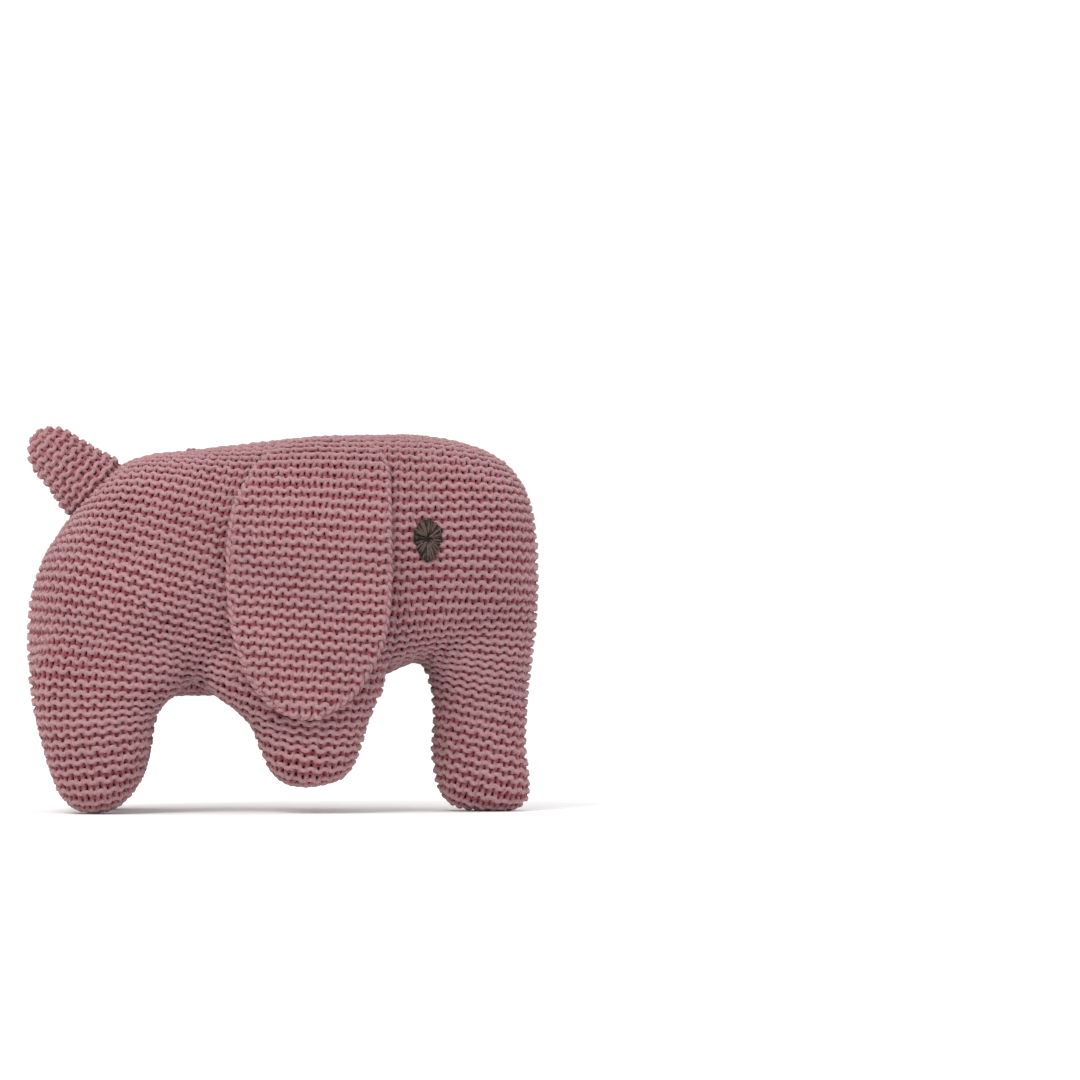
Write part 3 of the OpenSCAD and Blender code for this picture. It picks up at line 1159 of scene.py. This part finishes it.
@dataclass
class Skin:
    """The knitted skin: a side panel on each side and one gusset under the belly."""

    wardrobe: Wardrobe
    garter: Garter = field(default_factory=Garter)
    shares: int = 4
    over_back: float = 0.9
    behind: float = 1.3
    allowance: float = 1.3
    middle_slack: float = 0.02

    def build(self) -> None:
        """Fits the panels to the stuffed shape and lays their courses."""
        half = StuffedShape(allowance=self.allowance).build()
        side = half.part(~self.under(half, -self.allowance))
        gusset = self.both_halves(half.part(self.under(half, self.allowance)))
        self.side = Panel.fit(side, self.side_growth(side), self.side_density(side))
        self.gusset = Panel.fit(gusset, self.gusset_growth(gusset))

    @staticmethod
    def under(half: Surface, spare: float) -> np.ndarray:
        """Which triangles lie under the toy, where the gusset is, with some spare width round it."""
        x, y, z = middle_of(half).T
        top = GUSSET_TOP + spare - BACK_FALL * np.maximum(GUSSET_BACK - x, 0)
        return (y > -LEG_OFFSET - spare) & (z < top) & (x < GUSSET_FRONT + spare)

    def both_halves(self, half: Surface) -> Surface:
        """A right half and its mirror image, joined along the middle plane."""
        on_middle = half.points[:, 1] > -self.middle_slack
        count = len(half.points)
        far = np.where(on_middle, np.arange(count), np.cumsum(~on_middle) - 1 + count)
        points = np.vstack([half.points, half.points[~on_middle] * MIRROR])
        return Surface(points, np.vstack([half.triangles, far[half.triangles][:, ::-1]]))

    def side_growth(self, surface: Surface) -> np.ndarray:
        """The way the side panel grew: up, then over the back towards the middle seam."""
        normals = unit(surface.face_normals())
        slope = course_slope(middle_of(surface))
        over = self.over_back * np.sign(normals[:, 2]) * normals[:, 2] ** 2
        return np.stack([-np.sin(slope), over, np.cos(slope)], 1)

    @staticmethod
    def side_density(surface: Surface) -> np.ndarray:
        """How closely the side's courses lie: drawn together over the two arches between the legs."""
        middle = middle_of(surface)
        x, z = middle[:, 0], middle[:, 2]
        return 1 + ARCH_GATHER * np.maximum(BELLY.gather(x, z), THROAT.gather(x, z))

    def gusset_growth(self, surface: Surface) -> np.ndarray:
        """The way the gusset grew: up inside the right leg, over the belly, down inside the left leg."""
        normals = unit(surface.face_normals())
        upward = -np.sign(middle_of(surface)[:, 1])
        return np.stack([np.zeros(len(upward)), self.over_back * normals[:, 2] ** 2, upward], 1)

    def dress(self) -> None:
        """Knits the panels and gives them their finishes."""
        for side in Side:
            node = f"side_panel_{side.word}"
            marks = np.linspace(self.side.rise.min(), self.side.rise.max(), self.shares + 1)
            for share, (low, high) in enumerate(zip(marks, marks[1:])):
                yarn = self.garter.knit(self.side, low, high, SEED + 10 * share + side.value)
                self.wardrobe.fix(yarn.piece(f"{node}_knit_{share + 1}", side), PINK_YARN, Slot.KNIT, node)
            # A sheet of painted shade behind the panel, seen through its holes.
            back = open_sheet(f"{node}_inner_face", self.side.surface, self.behind, side)
            self.wardrobe.fix(back, PAINTED_SHADE_SHEET, Slot.KNIT, node)
        node = "underbody_gusset"
        low, high = self.gusset.rise.min(), self.gusset.rise.max()
        middle = (low + high) / 2
        for word, start, end in (("right", low, middle), ("left", middle, high)):
            yarn = self.garter.knit(self.gusset, start, end, SEED + 50)
            self.wardrobe.fix(yarn.piece(f"{node}_knit_{word}"), PINK_YARN, Slot.KNIT, node)
        # A sheet of painted shade behind the gusset, seen through its holes.
        back = open_sheet(f"{node}_inner_face", self.gusset.surface, self.behind, Side.RIGHT)
        self.wardrobe.fix(back, PAINTED_SHADE_SHEET, Slot.KNIT, node)


# ---------------------------------------------------------------------------
# Seams
# ---------------------------------------------------------------------------


@dataclass
class Overcast:
    """A line of sewing: one yarn wound round the two edges it joins."""

    width: float = 1.5
    height: float = 0.7
    pitch: float = 3.4
    radius: float = 0.75
    sunk: float = 0.4
    steps: int = 10
    turn: float = 0.0

    def sew(self, yarn: YarnMesh, line: np.ndarray, normals: np.ndarray) -> None:
        """Adds the sewing along a line.

        Args:
            yarn: the yarn to add to.
            line: the seam's points.
            normals: the way out of the fabric at each point.
        """
        length = length_along(line)
        fresh = np.concatenate([[True], np.diff(length) > 1e-5])
        length, line, normals = length[fresh], line[fresh], normals[fresh]
        count = max(int(length[-1] / self.pitch * self.steps), 6)
        spot = np.linspace(0, length[-1], count)
        place = vectors_at(spot, length, line)
        normal = unit(vectors_at(spot, length, normals))
        across = unit(np.cross(unit(np.gradient(place, axis=0)), normal))
        phase = 2 * math.pi * spot / self.pitch + self.turn
        path = (place + across * (self.width * np.cos(phase))[:, None]
                + normal * (self.height * np.sin(phase) - self.sunk)[:, None])
        yarn.tube(path, normal, np.full(count, self.radius), ground=place)


def smoothed(values: np.ndarray, rounds: int) -> np.ndarray:
    """A line of points or normals with its small steps eased, its ends kept."""
    for _ in range(rounds):
        values = values.copy()
        values[1:-1] = 0.25 * values[:-2] + 0.5 * values[1:-1] + 0.25 * values[2:]
    return values


@dataclass
class Seams:
    """The sewing between the panels: round the middle of the toy and along the gusset."""

    wardrobe: Wardrobe
    skin: Skin
    stitch: Overcast = field(default_factory=Overcast)
    flat_stitch: Overcast = field(default_factory=lambda: Overcast(height=0.4, radius=0.65, sunk=0.9))
    trunk_back_x: float = 80.0
    throat_z: float = 66.0
    shortest: float = 12.0
    fewest_points: int = 8
    eased: tuple[int, int] = (3, 6)

    def edge_lines(self, kind: Seamline) -> list[tuple[np.ndarray, np.ndarray]]:
        """The lines of one kind of seam along the right side panel's edge, with their normals."""
        surface = self.skin.side.surface
        pairs, uses = np.unique(surface.edges(), axis=0, return_counts=True)
        pairs = pairs[uses == 1]
        on_middle = (surface.points[pairs][:, :, 1] > -0.05).all(1)
        chosen = pairs[on_middle if kind is Seamline.MIDDLE else ~on_middle]
        normals = surface.point_normals()
        if kind is Seamline.MIDDLE:
            normals = unit(normals * [1, 0, 1])
        lines = []
        for chain in outline_order(chosen):
            points = smoothed(surface.points[chain], self.eased[0])
            if np.linalg.norm(np.diff(points, axis=0), axis=1).sum() > self.shortest:
                lines.append((points, unit(smoothed(normals[chain], self.eased[1]))))
        return lines

    def is_trunk_back(self, points: np.ndarray) -> np.ndarray:
        """Which points of the middle seam lie down the back of the trunk and under the throat."""
        return (points[:, 2] < self.throat_z) & (points[:, 0] < self.trunk_back_x) & (points[:, 0] > 0)

    def build(self) -> None:
        """Sews every seam."""
        spine, trunk_back = YarnMesh(), YarnMesh()
        for points, normals in self.edge_lines(Seamline.MIDDLE):
            behind = self.is_trunk_back(points)
            for yarn, chosen in ((spine, ~behind), (trunk_back, behind)):
                for start, end in self.runs(chosen):
                    self.stitch.sew(yarn, points[start:end], normals[start:end])
        for yarn, node in ((spine, "spine_seam"), (trunk_back, "trunk_back_seam")):
            self.wardrobe.fix(yarn.piece(f"{node}_sewing"), SEAM_YARN, Slot.SEAM, node)
        for side in Side:
            yarn = YarnMesh()
            for points, normals in self.edge_lines(Seamline.GUSSET):
                self.flat_stitch.sew(yarn, points, normals)
            node = f"gusset_seam_{side.word}"
            self.wardrobe.fix(yarn.piece(f"{node}_sewing", side), SEAM_YARN, Slot.SEAM, node)

    def runs(self, chosen: np.ndarray) -> list[tuple[int, int]]:
        """The stretches of a line that are chosen, as start and end."""
        marks = np.flatnonzero(np.diff(np.concatenate([[0], chosen.astype(int), [0]])))
        return [(a, b) for a, b in zip(marks[::2], marks[1::2]) if b - a > self.fewest_points]


@dataclass
class SeamKnot:
    """The small knot where the yarn of the back seam is fastened off."""

    wardrobe: Wardrobe
    place: tuple[float, float, float] = (-36.4, 0.0, 143.7)
    size: float = 0.9
    yarn: float = 0.8
    squash: tuple[float, float, float] = (0.62, 0.5, 0.7)

    def build(self) -> None:
        """Ties the knot: a trefoil of yarn lying on the seam."""
        t = np.linspace(0, 2 * math.pi, 60)
        path = np.stack([np.sin(t) + 2 * np.sin(2 * t), np.cos(t) - 2 * np.cos(2 * t),
                         -1.1 * np.sin(3 * t)], 1)
        path = path * self.size * self.squash + self.place
        yarn = YarnMesh()
        yarn.tube(path, np.tile([0.0, 0.0, 1.0], (len(t), 1)), np.full(len(t), self.yarn), 8,
                  np.tile(self.place, (len(t), 1)))
        self.wardrobe.fix(yarn.piece("seam_knot_yarn"), PINK_YARN, Slot.SEAM, "seam_knot")


# ---------------------------------------------------------------------------
# Filling
# ---------------------------------------------------------------------------


@dataclass
class Filling:
    """The fibre filling of the body, the head, the trunk and the legs."""

    wardrobe: Wardrobe
    inset: float = 6.5
    lift: float = 6.0
    neck: float = 50.0
    full: float = 0.9
    softer: float = 0.85

    def build(self) -> None:
        """Packs every part of the body."""
        self.pack(TORSO.between(-math.inf, self.neck), "body_stuffing")
        self.pack(TORSO.between(self.neck, math.inf), "head_stuffing")
        self.pack(TRUNK, "trunk_stuffing")
        for side in Side:
            for word, stations in (("front", FRONT_LEG), ("rear", REAR_LEG)):
                leg = Loft(stations, middle_y=side.value * LEG_OFFSET)
                self.pack(leg, f"{word}_{side.word}_leg_stuffing")

    def pack(self, loft: Loft, node: str) -> None:
        """Makes one part's filling.

        Args:
            loft: the part's shape.
            node: the node it stands for.
        """
        piece = loft.solid(f"{node}_fibre", self.inset, self.lift if loft.upright else 0.0)
        self.wardrobe.fix(piece, FILLING, Slot.FIBRE, node)


# ---------------------------------------------------------------------------
# Ears
# ---------------------------------------------------------------------------


# The ear from the side: [x in half widths from the middle, height above the tip in drops]
EAR_OUTLINE = [[-0.17, 1.017], [-0.34, 1.004], [-0.48, 0.978], [-0.60, 0.945], [-0.74, 0.888],
               [-0.90, 0.80], [-0.98, 0.68], [-1, 0.55], [-0.98, 0.42],
               [-0.93, 0.32], [-0.84, 0.22], [-0.68, 0.12], [-0.42, 0.04], [-0.06, 0], [0.28, 0.03],
               [0.56, 0.09], [0.76, 0.18], [0.90, 0.27], [0.97, 0.38], [1, 0.52], [1, 0.70],
               [0.99, 0.84], [0.97, 0.90], [0.91, 0.947], [0.82, 0.98], [0.72, 1.004], [0.57, 1.017]]


@dataclass
class Ear:
    """One ear: two knitted layers, sewn together round the rim and to the flank at the root."""

    wardrobe: Wardrobe
    side: Side
    centre_x: float = 10.2
    width: float = 63.0
    drop: float = 107.0
    tip_z: float = 38.6
    root_y: float = 25.5
    flank_half: float = 43.2
    flank_top: float = 150.4
    flank_centre: float = 99.0
    flank_angle: float = 70.0
    root_z: float = 147.0
    root_spread: tuple[float, float] = (-6.0, 8.0)
    over_flank: float = 12.0
    slope: float = math.tan(math.radians(4.0))
    outer_at: float = 4.1
    lining_at: float = 1.6
    tucked: float = 2.6
    flare: float = 1.6
    sways: tuple[float, float] = (95.0, 40.0)
    sewn: tuple[float, float] = (1.02, 0.9)
    blend_length: float = 9.0
    rows: int = 70
    columns: int = 40
    behind: float = 0.75
    lining_gauge: Gauge = Gauge(loop_depth=0.55, yarn=1.95)

    @property
    def body(self) -> str:
        """The ear's moving body."""
        return f"ear_{self.side.word}"

    def flank(self) -> tuple[np.ndarray, np.ndarray, np.ndarray]:
        """The line the ear hangs along: distance from the root, height, and distance from the middle."""
        angle = np.radians(np.linspace(self.flank_angle, 0, 71))
        y = self.flank_half * np.cos(angle) ** (2 / OVAL_POWER)
        z = self.flank_centre + (self.flank_top - self.flank_centre) * np.sin(angle) ** (2 / OVAL_POWER)
        y, z = np.append(y, self.flank_half), np.append(z, 0.0)
        reach = np.concatenate([[0], np.cumsum(np.hypot(np.diff(y), np.diff(z)))])
        return reach, z, y

    def outline(self) -> np.ndarray:
        """The ear's outline from the side, as points [x, z]."""
        rows = through_stations(np.array(EAR_OUTLINE), 8)
        return np.stack([self.centre_x + rows[:, 0] * self.width / 2,
                         self.tip_z + rows[:, 1] * self.drop], 1)

    def drape(self, x: np.ndarray, z: np.ndarray, off: float) -> tuple[np.ndarray, np.ndarray]:
        """Places on the hanging ear.

        Args:
            x: places along the toy.
            z: heights.
            off: the distance from the flank.

        Returns:
            The points, and the outward normals.
        """
        reach, levels, aside = self.flank()
        t = np.interp(-z, -levels, reach)
        y = np.interp(t, reach, aside)
        slope_y, slope_z = (np.interp(t + 0.5, reach, line) - np.interp(t - 0.5, reach, line)
                            for line in (aside, levels))
        normal = unit(np.stack([np.zeros_like(y), slope_z, slope_y], -1))
        torso = np.array(TORSO.stations)
        y = y - self.flank_half + np.interp(x, torso[:, 0], torso[:, 3])
        high = np.clip((z - self.flank_centre) / (self.flank_top - self.flank_centre), 0, 1)
        hung = z - high * (self.flank_top - np.interp(x, torso[:, 0], torso[:, 2]))
        low = smooth_step(*self.sways, z)
        wave = (self.flare * low * (0.6 + 0.4 * np.sin(x / 11.0 + 0.6))
                + 0.5 * np.sin(x / 7.0 + z / 13.0) * low)
        root = smooth_step(*(self.tip_z + share * self.drop for share in self.sewn), z)
        points = np.stack([x, -y, hung], -1) + normal * (off - self.tucked * (1 - root) + wave)[..., None]
        return points, normal

    def layer(self, off: float, front: bool) -> Panel:
        """One layer of the ear as a panel.

        Args:
            off: the distance from the flank.
            front: whether its front faces away from the flank.

        Returns:
            The panel.
        """
        outline = self.outline()
        tip = int(np.argmin(outline[:, 1]))
        rear, fore = outline[: tip + 1][::-1], outline[tip:]
        top = min(rear[-1, 1], fore[-1, 1])
        levels = np.linspace(self.tip_z + 0.3, top, self.rows)
        left, right = (np.interp(levels, edge[:, 1], edge[:, 0]) for edge in (rear, fore))
        share = np.linspace(0, 1, self.columns)
        x = left[:, None] + (right - left)[:, None] * share
        z = np.repeat(levels[:, None], len(share), 1)
        points, _ = self.drape(x, z, off)
        n, m = x.shape
        triangles = grid_triangles(np.arange(n * m).reshape(n, m))
        if not front:
            triangles = triangles[:, ::-1]
        reach, heights, _ = self.flank()
        up = -np.interp(-z, -heights, reach)
        rise, run = up + x * self.slope, x - up * self.slope
        return Panel(Surface(points.reshape(-1, 3), triangles), rise.ravel(),
                     run.ravel() * (1 if front else -1), np.ones(n * m))

    def build(self) -> None:
        """Knits both layers and sews them."""
        outline_area = self.area()
        for word, off, front, gauge in (("outer", self.outer_at, True, Gauge()),
                                        ("lining", self.lining_at, False, self.lining_gauge)):
            panel = self.layer(off, front)
            node = f"ear_{self.side.word}_{word}"
            yarn = Garter(gauge).knit(panel, panel.rise.min(), panel.rise.max(), SEED + (3 if front else 5))
            knit = self.finish(yarn.piece(f"{node}_knit", self.side), PINK_YARN, Slot.KNIT, node)
            # A sheet of painted shade behind the ear's layer, seen through its holes.
            back = open_sheet(f"{node}_inner_face", panel.surface, self.behind, self.side)
            self.finish(back, PAINTED_SHADE_SHEET, Slot.KNIT, node)
        self.rim()
        self.root()

    def area(self) -> float:
        """The area of one modelled layer, in square metres."""
        a, b, c = self.layer(self.outer_at, True).surface.corners()
        return float(np.linalg.norm(np.cross(b - a, c - a), axis=1).sum() / 2) * MM * MM

    def rim(self) -> None:
        """Sews the rim: two strands of yarn twisted round each other along the edges of both layers."""
        outline = self.outline()
        line, normal = self.drape(outline[:, 0], outline[:, 1], (self.outer_at + self.lining_at) / 2)
        yarn = YarnMesh()
        for turn in (0.0, math.pi):
            strand = Overcast(width=0.55, height=1.15, pitch=6.8, radius=0.92, sunk=0.0, steps=20, turn=turn)
            strand.sew(yarn, line, normal)
        piece = yarn.piece(f"ear_{self.side.word}_rim_sewing", self.side)
        self.finish(piece, PINK_YARN, Slot.KNIT, f"ear_{self.side.word}_rim_seam")

    def root(self) -> None:
        """Sews the ear's root to the flank."""
        outline = self.outline()
        x = np.linspace(outline[0, 0], outline[-1, 0], 40)
        z = np.interp(x, outline[[0, -1], 0], outline[[0, -1], 1]) + 0.2
        line, normal = self.drape(x, z, 2.0)
        yarn = YarnMesh()
        Overcast(width=1.2, height=0.9, pitch=3.0, radius=0.8, sunk=0.5).sew(yarn, line, normal)
        piece = yarn.piece(f"ear_{self.side.word}_root_sewing", self.side)
        self.wardrobe.fix(piece, SEAM_YARN, Slot.SEAM, f"ear_{self.side.word}_root_seam")

    def finish(self, piece: bpy.types.Object, finish: Finish, slot: Slot, node: str) -> bpy.types.Object:
        """Dresses a piece of the ear; the reach of a bend from the flank at the root is worked out, but no
        bend is made.
        """
        inner, outer = (self.side.value * (self.root_y + gap) for gap in self.root_spread)
        start = Vector((self.centre_x, inner, self.root_z)) * MM
        end = Vector((self.centre_x, outer, self.root_z - self.blend_length)) * MM
        return self.wardrobe.bend(piece, finish, slot, node, self.body, (start, end))


# ---------------------------------------------------------------------------
# Tail
# ---------------------------------------------------------------------------


@dataclass
class Tail:
    """The stubby tail: a knitted cap over its filling, sewn to the rump."""

    wardrobe: Wardrobe
    skin: Skin
    root: tuple[float, float, float] = (-78.5, 0.0, 131.5)
    lean: float = 48.0
    outline: tuple[tuple[float, float], ...] = (
        (-7, 13.4), (-2, 13.5), (3, 12.4), (8, 11.2), (13, 10.3), (17, 9.6), (20.5, 8.6),
        (23.5, 6.9), (25.6, 4.6), (26.6, 2.4), (26.9, 0.5))
    around: int = 72
    behind: float = 1.2
    filling_inset: float = 3.4
    fill: float = 0.8
    bend_reach: tuple[float, float] = (-3.0, 9.0)
    seek: tuple[tuple[float, float], ...] = ((16, 9.8), (-7, 13.4))
    gauge: Gauge = Gauge(stitch=4.3, course=1.8, yarn=1.95, loop_rise=1.55, loop_depth=0.8)

    def frame(self) -> tuple[np.ndarray, np.ndarray, np.ndarray]:
        """The tail's long axis, the way to its underside, and the way to its left."""
        lean = math.radians(self.lean)
        axis = np.array([-math.sin(lean), 0.0, math.cos(lean)])
        return axis, np.array([-math.cos(lean), 0.0, -math.sin(lean)]), np.array([0.0, 1.0, 0.0])

    def lathe(self, inset: float, closed: bool) -> Surface:
        """The tail's surface of revolution.

        Args:
            inset: how far it is drawn in.
            closed: whether its two side edges meet.

        Returns:
            The surface.
        """
        axis, under, left = self.frame()
        rows = through_stations(np.array(self.outline), 5)
        rows[:, 1] = np.maximum(rows[:, 1] - inset, 0.3)
        rows[:, 0] -= inset * np.clip(rows[:, 0] / 26.0, 0, 1)
        angle = np.linspace(0, 2 * math.pi, self.around + 1)
        if closed:
            angle = angle[:-1]
        ring = under * np.cos(angle)[:, None] + left * np.sin(angle)[:, None]
        points = np.array(self.root) + rows[:, :1, None] * axis + rows[:, 1:, None] * ring
        n, m = points.shape[:2]
        index = np.arange(n * m).reshape(n, m)
        if closed:
            index = np.hstack([index, index[:, :1]])
        return Surface(points.reshape(-1, 3), grid_triangles(index)[:, [0, 2, 1]])

    def build(self) -> None:
        """Knits, fills and sews the tail."""
        surface = self.lathe(0.0, False)
        growth = np.tile(self.frame()[0], (len(surface.triangles), 1))
        panel = Panel.fit(surface, growth)
        yarn = Garter(self.gauge).knit(panel, panel.rise.min(), panel.rise.max(), SEED + 7)
        self.finish(yarn.piece("tail_cover_knit"), PINK_YARN, Slot.KNIT, "tail_cover")
        # A sheet of painted shade behind the tail's knitting, seen through its holes.
        back = open_sheet("tail_cover_inner_face", surface, self.behind, Side.RIGHT)
        self.finish(back, PAINTED_SHADE_SHEET, Slot.KNIT, "tail_cover")
        inner = self.lathe(self.filling_inset, True)
        fibre = new_mesh("tail_stuffing_fibre", inner.points, inner.triangles)
        self.finish(fibre, FILLING, Slot.FIBRE, "tail_stuffing")
        self.root_sewing()

    def root_sewing(self) -> None:
        """Sews a ring where the tail meets the rump, found by looking down the tail's sides."""
        axis, under, left = self.frame()
        half = self.skin.side.surface
        triangles = np.vstack([half.triangles, half.triangles[:, ::-1] + len(half.points)])
        points = np.vstack([half.points, half.points * MIRROR])
        body = BVHTree.FromPolygons(points.tolist(), triangles.tolist())
        line, normals = [], []
        for angle in np.linspace(0, 2 * math.pi, 90):
            ring = under * math.cos(angle) + left * math.sin(angle)
            high, low = (np.array(self.root) + h * axis + (r + 1.0) * ring for h, r in self.seek)
            place, _, _, _ = body.ray_cast(Vector(high), Vector(low - high).normalized(), 40.0)
            if place is not None:
                line.append(np.array(place) + 0.6 * ring)
                normals.append(unit(ring + axis))
        yarn = YarnMesh()
        sewing = Overcast(width=0.9, height=0.8, pitch=3.0, radius=0.65, sunk=0.3)
        sewing.sew(yarn, smoothed(np.array(line), 4), np.array(normals))
        self.wardrobe.fix(yarn.piece("tail_root_sewing"), SEAM_YARN, Slot.SEAM, "tail_root_seam")

    def finish(self, piece: bpy.types.Object, finish: Finish, slot: Slot, node: str) -> None:
        """Dresses a piece of the tail; the reach of a bend from the rump at the root is worked out, but no
        bend is made.
        """
        axis = self.frame()[0]
        start, end = (Vector(np.array(self.root) + gap * axis) * MM for gap in self.bend_reach)
        self.wardrobe.bend(piece, finish, slot, node, "tail", (start, end))


# ---------------------------------------------------------------------------
# Eyes
# ---------------------------------------------------------------------------


@dataclass
class Eye:
    """One embroidered eye: satin stitches drawn from the rim into one hole."""

    wardrobe: Wardrobe
    side: Side
    centre: tuple[float, float, float] = (57.2, -37.9, 108.3)
    width: float = 12.2
    height: float = 16.4
    yaw: float = 12.0
    pitch: float = 3.0
    strands: int = 23
    strand: float = 0.45
    crown: float = 1.5
    hole: tuple[float, float] = (-0.6, 0.5)
    layers: tuple[tuple[float, float], ...] = ((0.42, 0.75), (0.0, 1.0))
    uneven_angle: float = 0.2
    uneven_reach: float = 0.05
    uneven_lift: float = 0.14
    uneven_start: float = 0.04
    uneven_strand: float = 0.08
    ground_sides: int = 40
    ground_rings: tuple[float, ...] = (1.0, 0.85, 0.65, 0.4, 0.15)

    def frame(self) -> tuple[np.ndarray, np.ndarray, np.ndarray]:
        """The eye's across, up and outward directions on the right side."""
        yaw, pitch = math.radians(self.yaw), math.radians(self.pitch)
        across = np.array([math.cos(yaw), math.sin(yaw), 0.0])
        out = np.array([math.sin(yaw) * math.cos(pitch), -math.cos(yaw) * math.cos(pitch), math.sin(pitch)])
        return across, np.cross(out, across), out

    def rim(self, angle: np.ndarray) -> tuple[np.ndarray, np.ndarray]:
        """The egg-shaped rim at angles, broad at the top."""
        wide = self.width / 2 * np.cos(angle) * (0.88 + 0.20 * np.sin(angle))
        return wide, self.height / 2 * np.sin(angle)

    def build(self) -> None:
        """Embroiders the eye over a dark ground, in layers that each start at a share of the reach."""
        across, up, out = self.frame()
        chance = np.random.default_rng(SEED + 11)
        yarn = YarnMesh()
        centre = np.array(self.centre)
        for layer, (start, crown) in enumerate(self.layers):
            for k in range(self.strands):
                angle = 2 * math.pi * (k + 0.5 * layer + chance.normal(0, self.uneven_angle)) / self.strands
                wide, high = self.rim(np.array(angle))
                reach = 1 + chance.normal(0, self.uneven_reach)
                lifted = chance.normal(0, self.uneven_lift)
                short = 0.28 if k % 2 and layer else 0.0
                begin = max(0.13, start + short + chance.normal(0, self.uneven_start))
                t = np.linspace(begin, 1, 12)
                u = self.hole[0] + (float(wide) * reach - self.hole[0]) * t
                v = self.hole[1] + (float(high) * reach - self.hole[1]) * t
                dome = crown * self.crown * (1 - t**4) - 2.2 * np.exp(-(t / 0.16) ** 2) - 0.5 * t**6
                path = centre + u[:, None] * across + v[:, None] * up + (dome + lifted - 0.3)[:, None] * out
                normals = np.tile(out, (len(t), 1))
                radius = np.full(len(t), self.strand * (1 + chance.normal(0, self.uneven_strand)))
                yarn.tube(path, normals, radius, ground=path - lifted * out)
        node = f"eye_{self.side.word}"
        self.wardrobe.fix(yarn.piece(f"{node}_embroidery", self.side), EYE_YARN, Slot.EYE, node)
        self.wardrobe.fix(self.ground(f"{node}_ground"), EYE_BACK, Slot.EYE, node)

    def ground(self, name: str) -> bpy.types.Object:
        """The shallow dome under the strands, dark with the eye yarn's own colour and with painted shade."""
        across, up, out = self.frame()
        wide, high = self.rim(round_angles(self.ground_sides))
        rings = [np.array(self.centre) + s * (wide[:, None] * across + high[:, None] * up)
                 + (0.9 * self.crown * (1 - s**4) - 1.2) * out for s in self.ground_rings]
        points = np.vstack([*rings, np.array(self.centre) + (0.9 * self.crown - 1.3) * out])
        ring = np.arange(self.ground_sides)
        last = (len(rings) - 1) * self.ground_sides
        cap = np.stack([last + ring, last + (ring + 1) % self.ground_sides,
                        np.full_like(ring, len(points) - 1)], 1)
        triangles = np.vstack([*ring_bands(len(rings), self.ground_sides), cap])
        return new_mesh(name, *on_side(self.side, points, triangles))


# ---------------------------------------------------------------------------
# Studio
# ---------------------------------------------------------------------------


@dataclass
class Studio:
    """A pale floor, soft light and a long-lens camera level with the toy."""

    wardrobe: Wardrobe
    distance: float = 3.0
    frame_width: float = 0.432
    aim: tuple[float, float, float] = (0.1024, -0.01, 0.1084)
    sky: float = 1.08
    floor_radius: float = 12000.0
    floor_sides: int = 96
    sensor: float = 36.0
    lit_at: tuple[float, float, float] = (0.0, 0.0, 0.08)

    def build(self) -> None:
        """Sets up the floor, the lights and the camera."""
        bpy.context.scene.view_settings.view_transform = "Standard"
        self.floor()
        self.daylight()
        self.lamp("key_light", (-0.9, -1.45, 1.85), size=1.1, power=37.0, colour=(1.0, 0.975, 0.95))
        self.lamp("fill_light", (1.6, -1.5, 0.7), size=1.2, power=5.0, colour=(0.90, 0.90, 1.0))
        self.camera()

    def floor(self) -> None:
        """Lays a wide round sheet of pale paper."""
        angle = round_angles(self.floor_sides)
        rim = self.floor_radius * np.stack([np.cos(angle), np.sin(angle), 0 * angle], 1)
        ring = np.arange(self.floor_sides)
        faces = np.stack([ring, (ring + 1) % self.floor_sides, np.full_like(ring, self.floor_sides)], 1)
        paper = new_mesh("studio_floor", np.vstack([rim, [[0, 0, 0]]]), faces)
        self.wardrobe.dress(paper, PAPER)

    def daylight(self) -> None:
        """Fills the studio with even light."""
        world = bpy.data.worlds.new("studio")
        world.use_nodes = True
        background = world.node_tree.nodes["Background"]
        background.inputs["Color"].default_value = (1, 1, 1, 1)
        background.inputs["Strength"].default_value = self.sky
        bpy.context.scene.world = world

    def lamp(self, name: str, place: tuple[float, float, float], size: float, power: float,
             colour: Colour) -> None:
        """Hangs one large soft lamp that shines on the toy.

        Args:
            name: the lamp's name.
            place: where it hangs, in metres.
            size: its width.
            power: its power in watts.
            colour: the colour of its light.
        """
        light = bpy.data.lights.new(name, "AREA")
        light.energy, light.size, light.color = power, size, colour
        lamp = bpy.data.objects.new(name, light)
        lamp.location = place
        lamp.rotation_euler = (Vector(self.lit_at) - Vector(place)).to_track_quat("-Z", "Y").to_euler()
        bpy.context.scene.collection.objects.link(lamp)

    def camera(self) -> None:
        """Sets the camera straight in front of the toy's side, turned to leave room beside it."""
        lens = bpy.data.cameras.new("camera")
        lens.sensor_width = self.sensor
        lens.lens = self.sensor * self.distance / self.frame_width
        camera = bpy.data.objects.new("camera", lens)
        camera.location = (0.0, -self.distance, self.aim[2])
        camera.rotation_euler = (Vector(self.aim) - camera.location).to_track_quat("-Z", "Y").to_euler()
        bpy.context.scene.collection.objects.link(camera)
        bpy.context.scene.camera = camera


def main() -> None:
    """Builds the toy, sub-assembly by sub-assembly, and the studio round it."""
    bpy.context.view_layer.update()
    wardrobe = Wardrobe()
    skin = Skin(wardrobe)
    skin.build()
    skin.dress()
    Seams(wardrobe, skin).build()
    SeamKnot(wardrobe).build()
    Filling(wardrobe).build()
    for side in Side:
        Ear(wardrobe, side).build()
        Eye(wardrobe, side).build()
    Tail(wardrobe, skin).build()
    Studio(wardrobe).build()


if __name__ == "__main__":
    main()
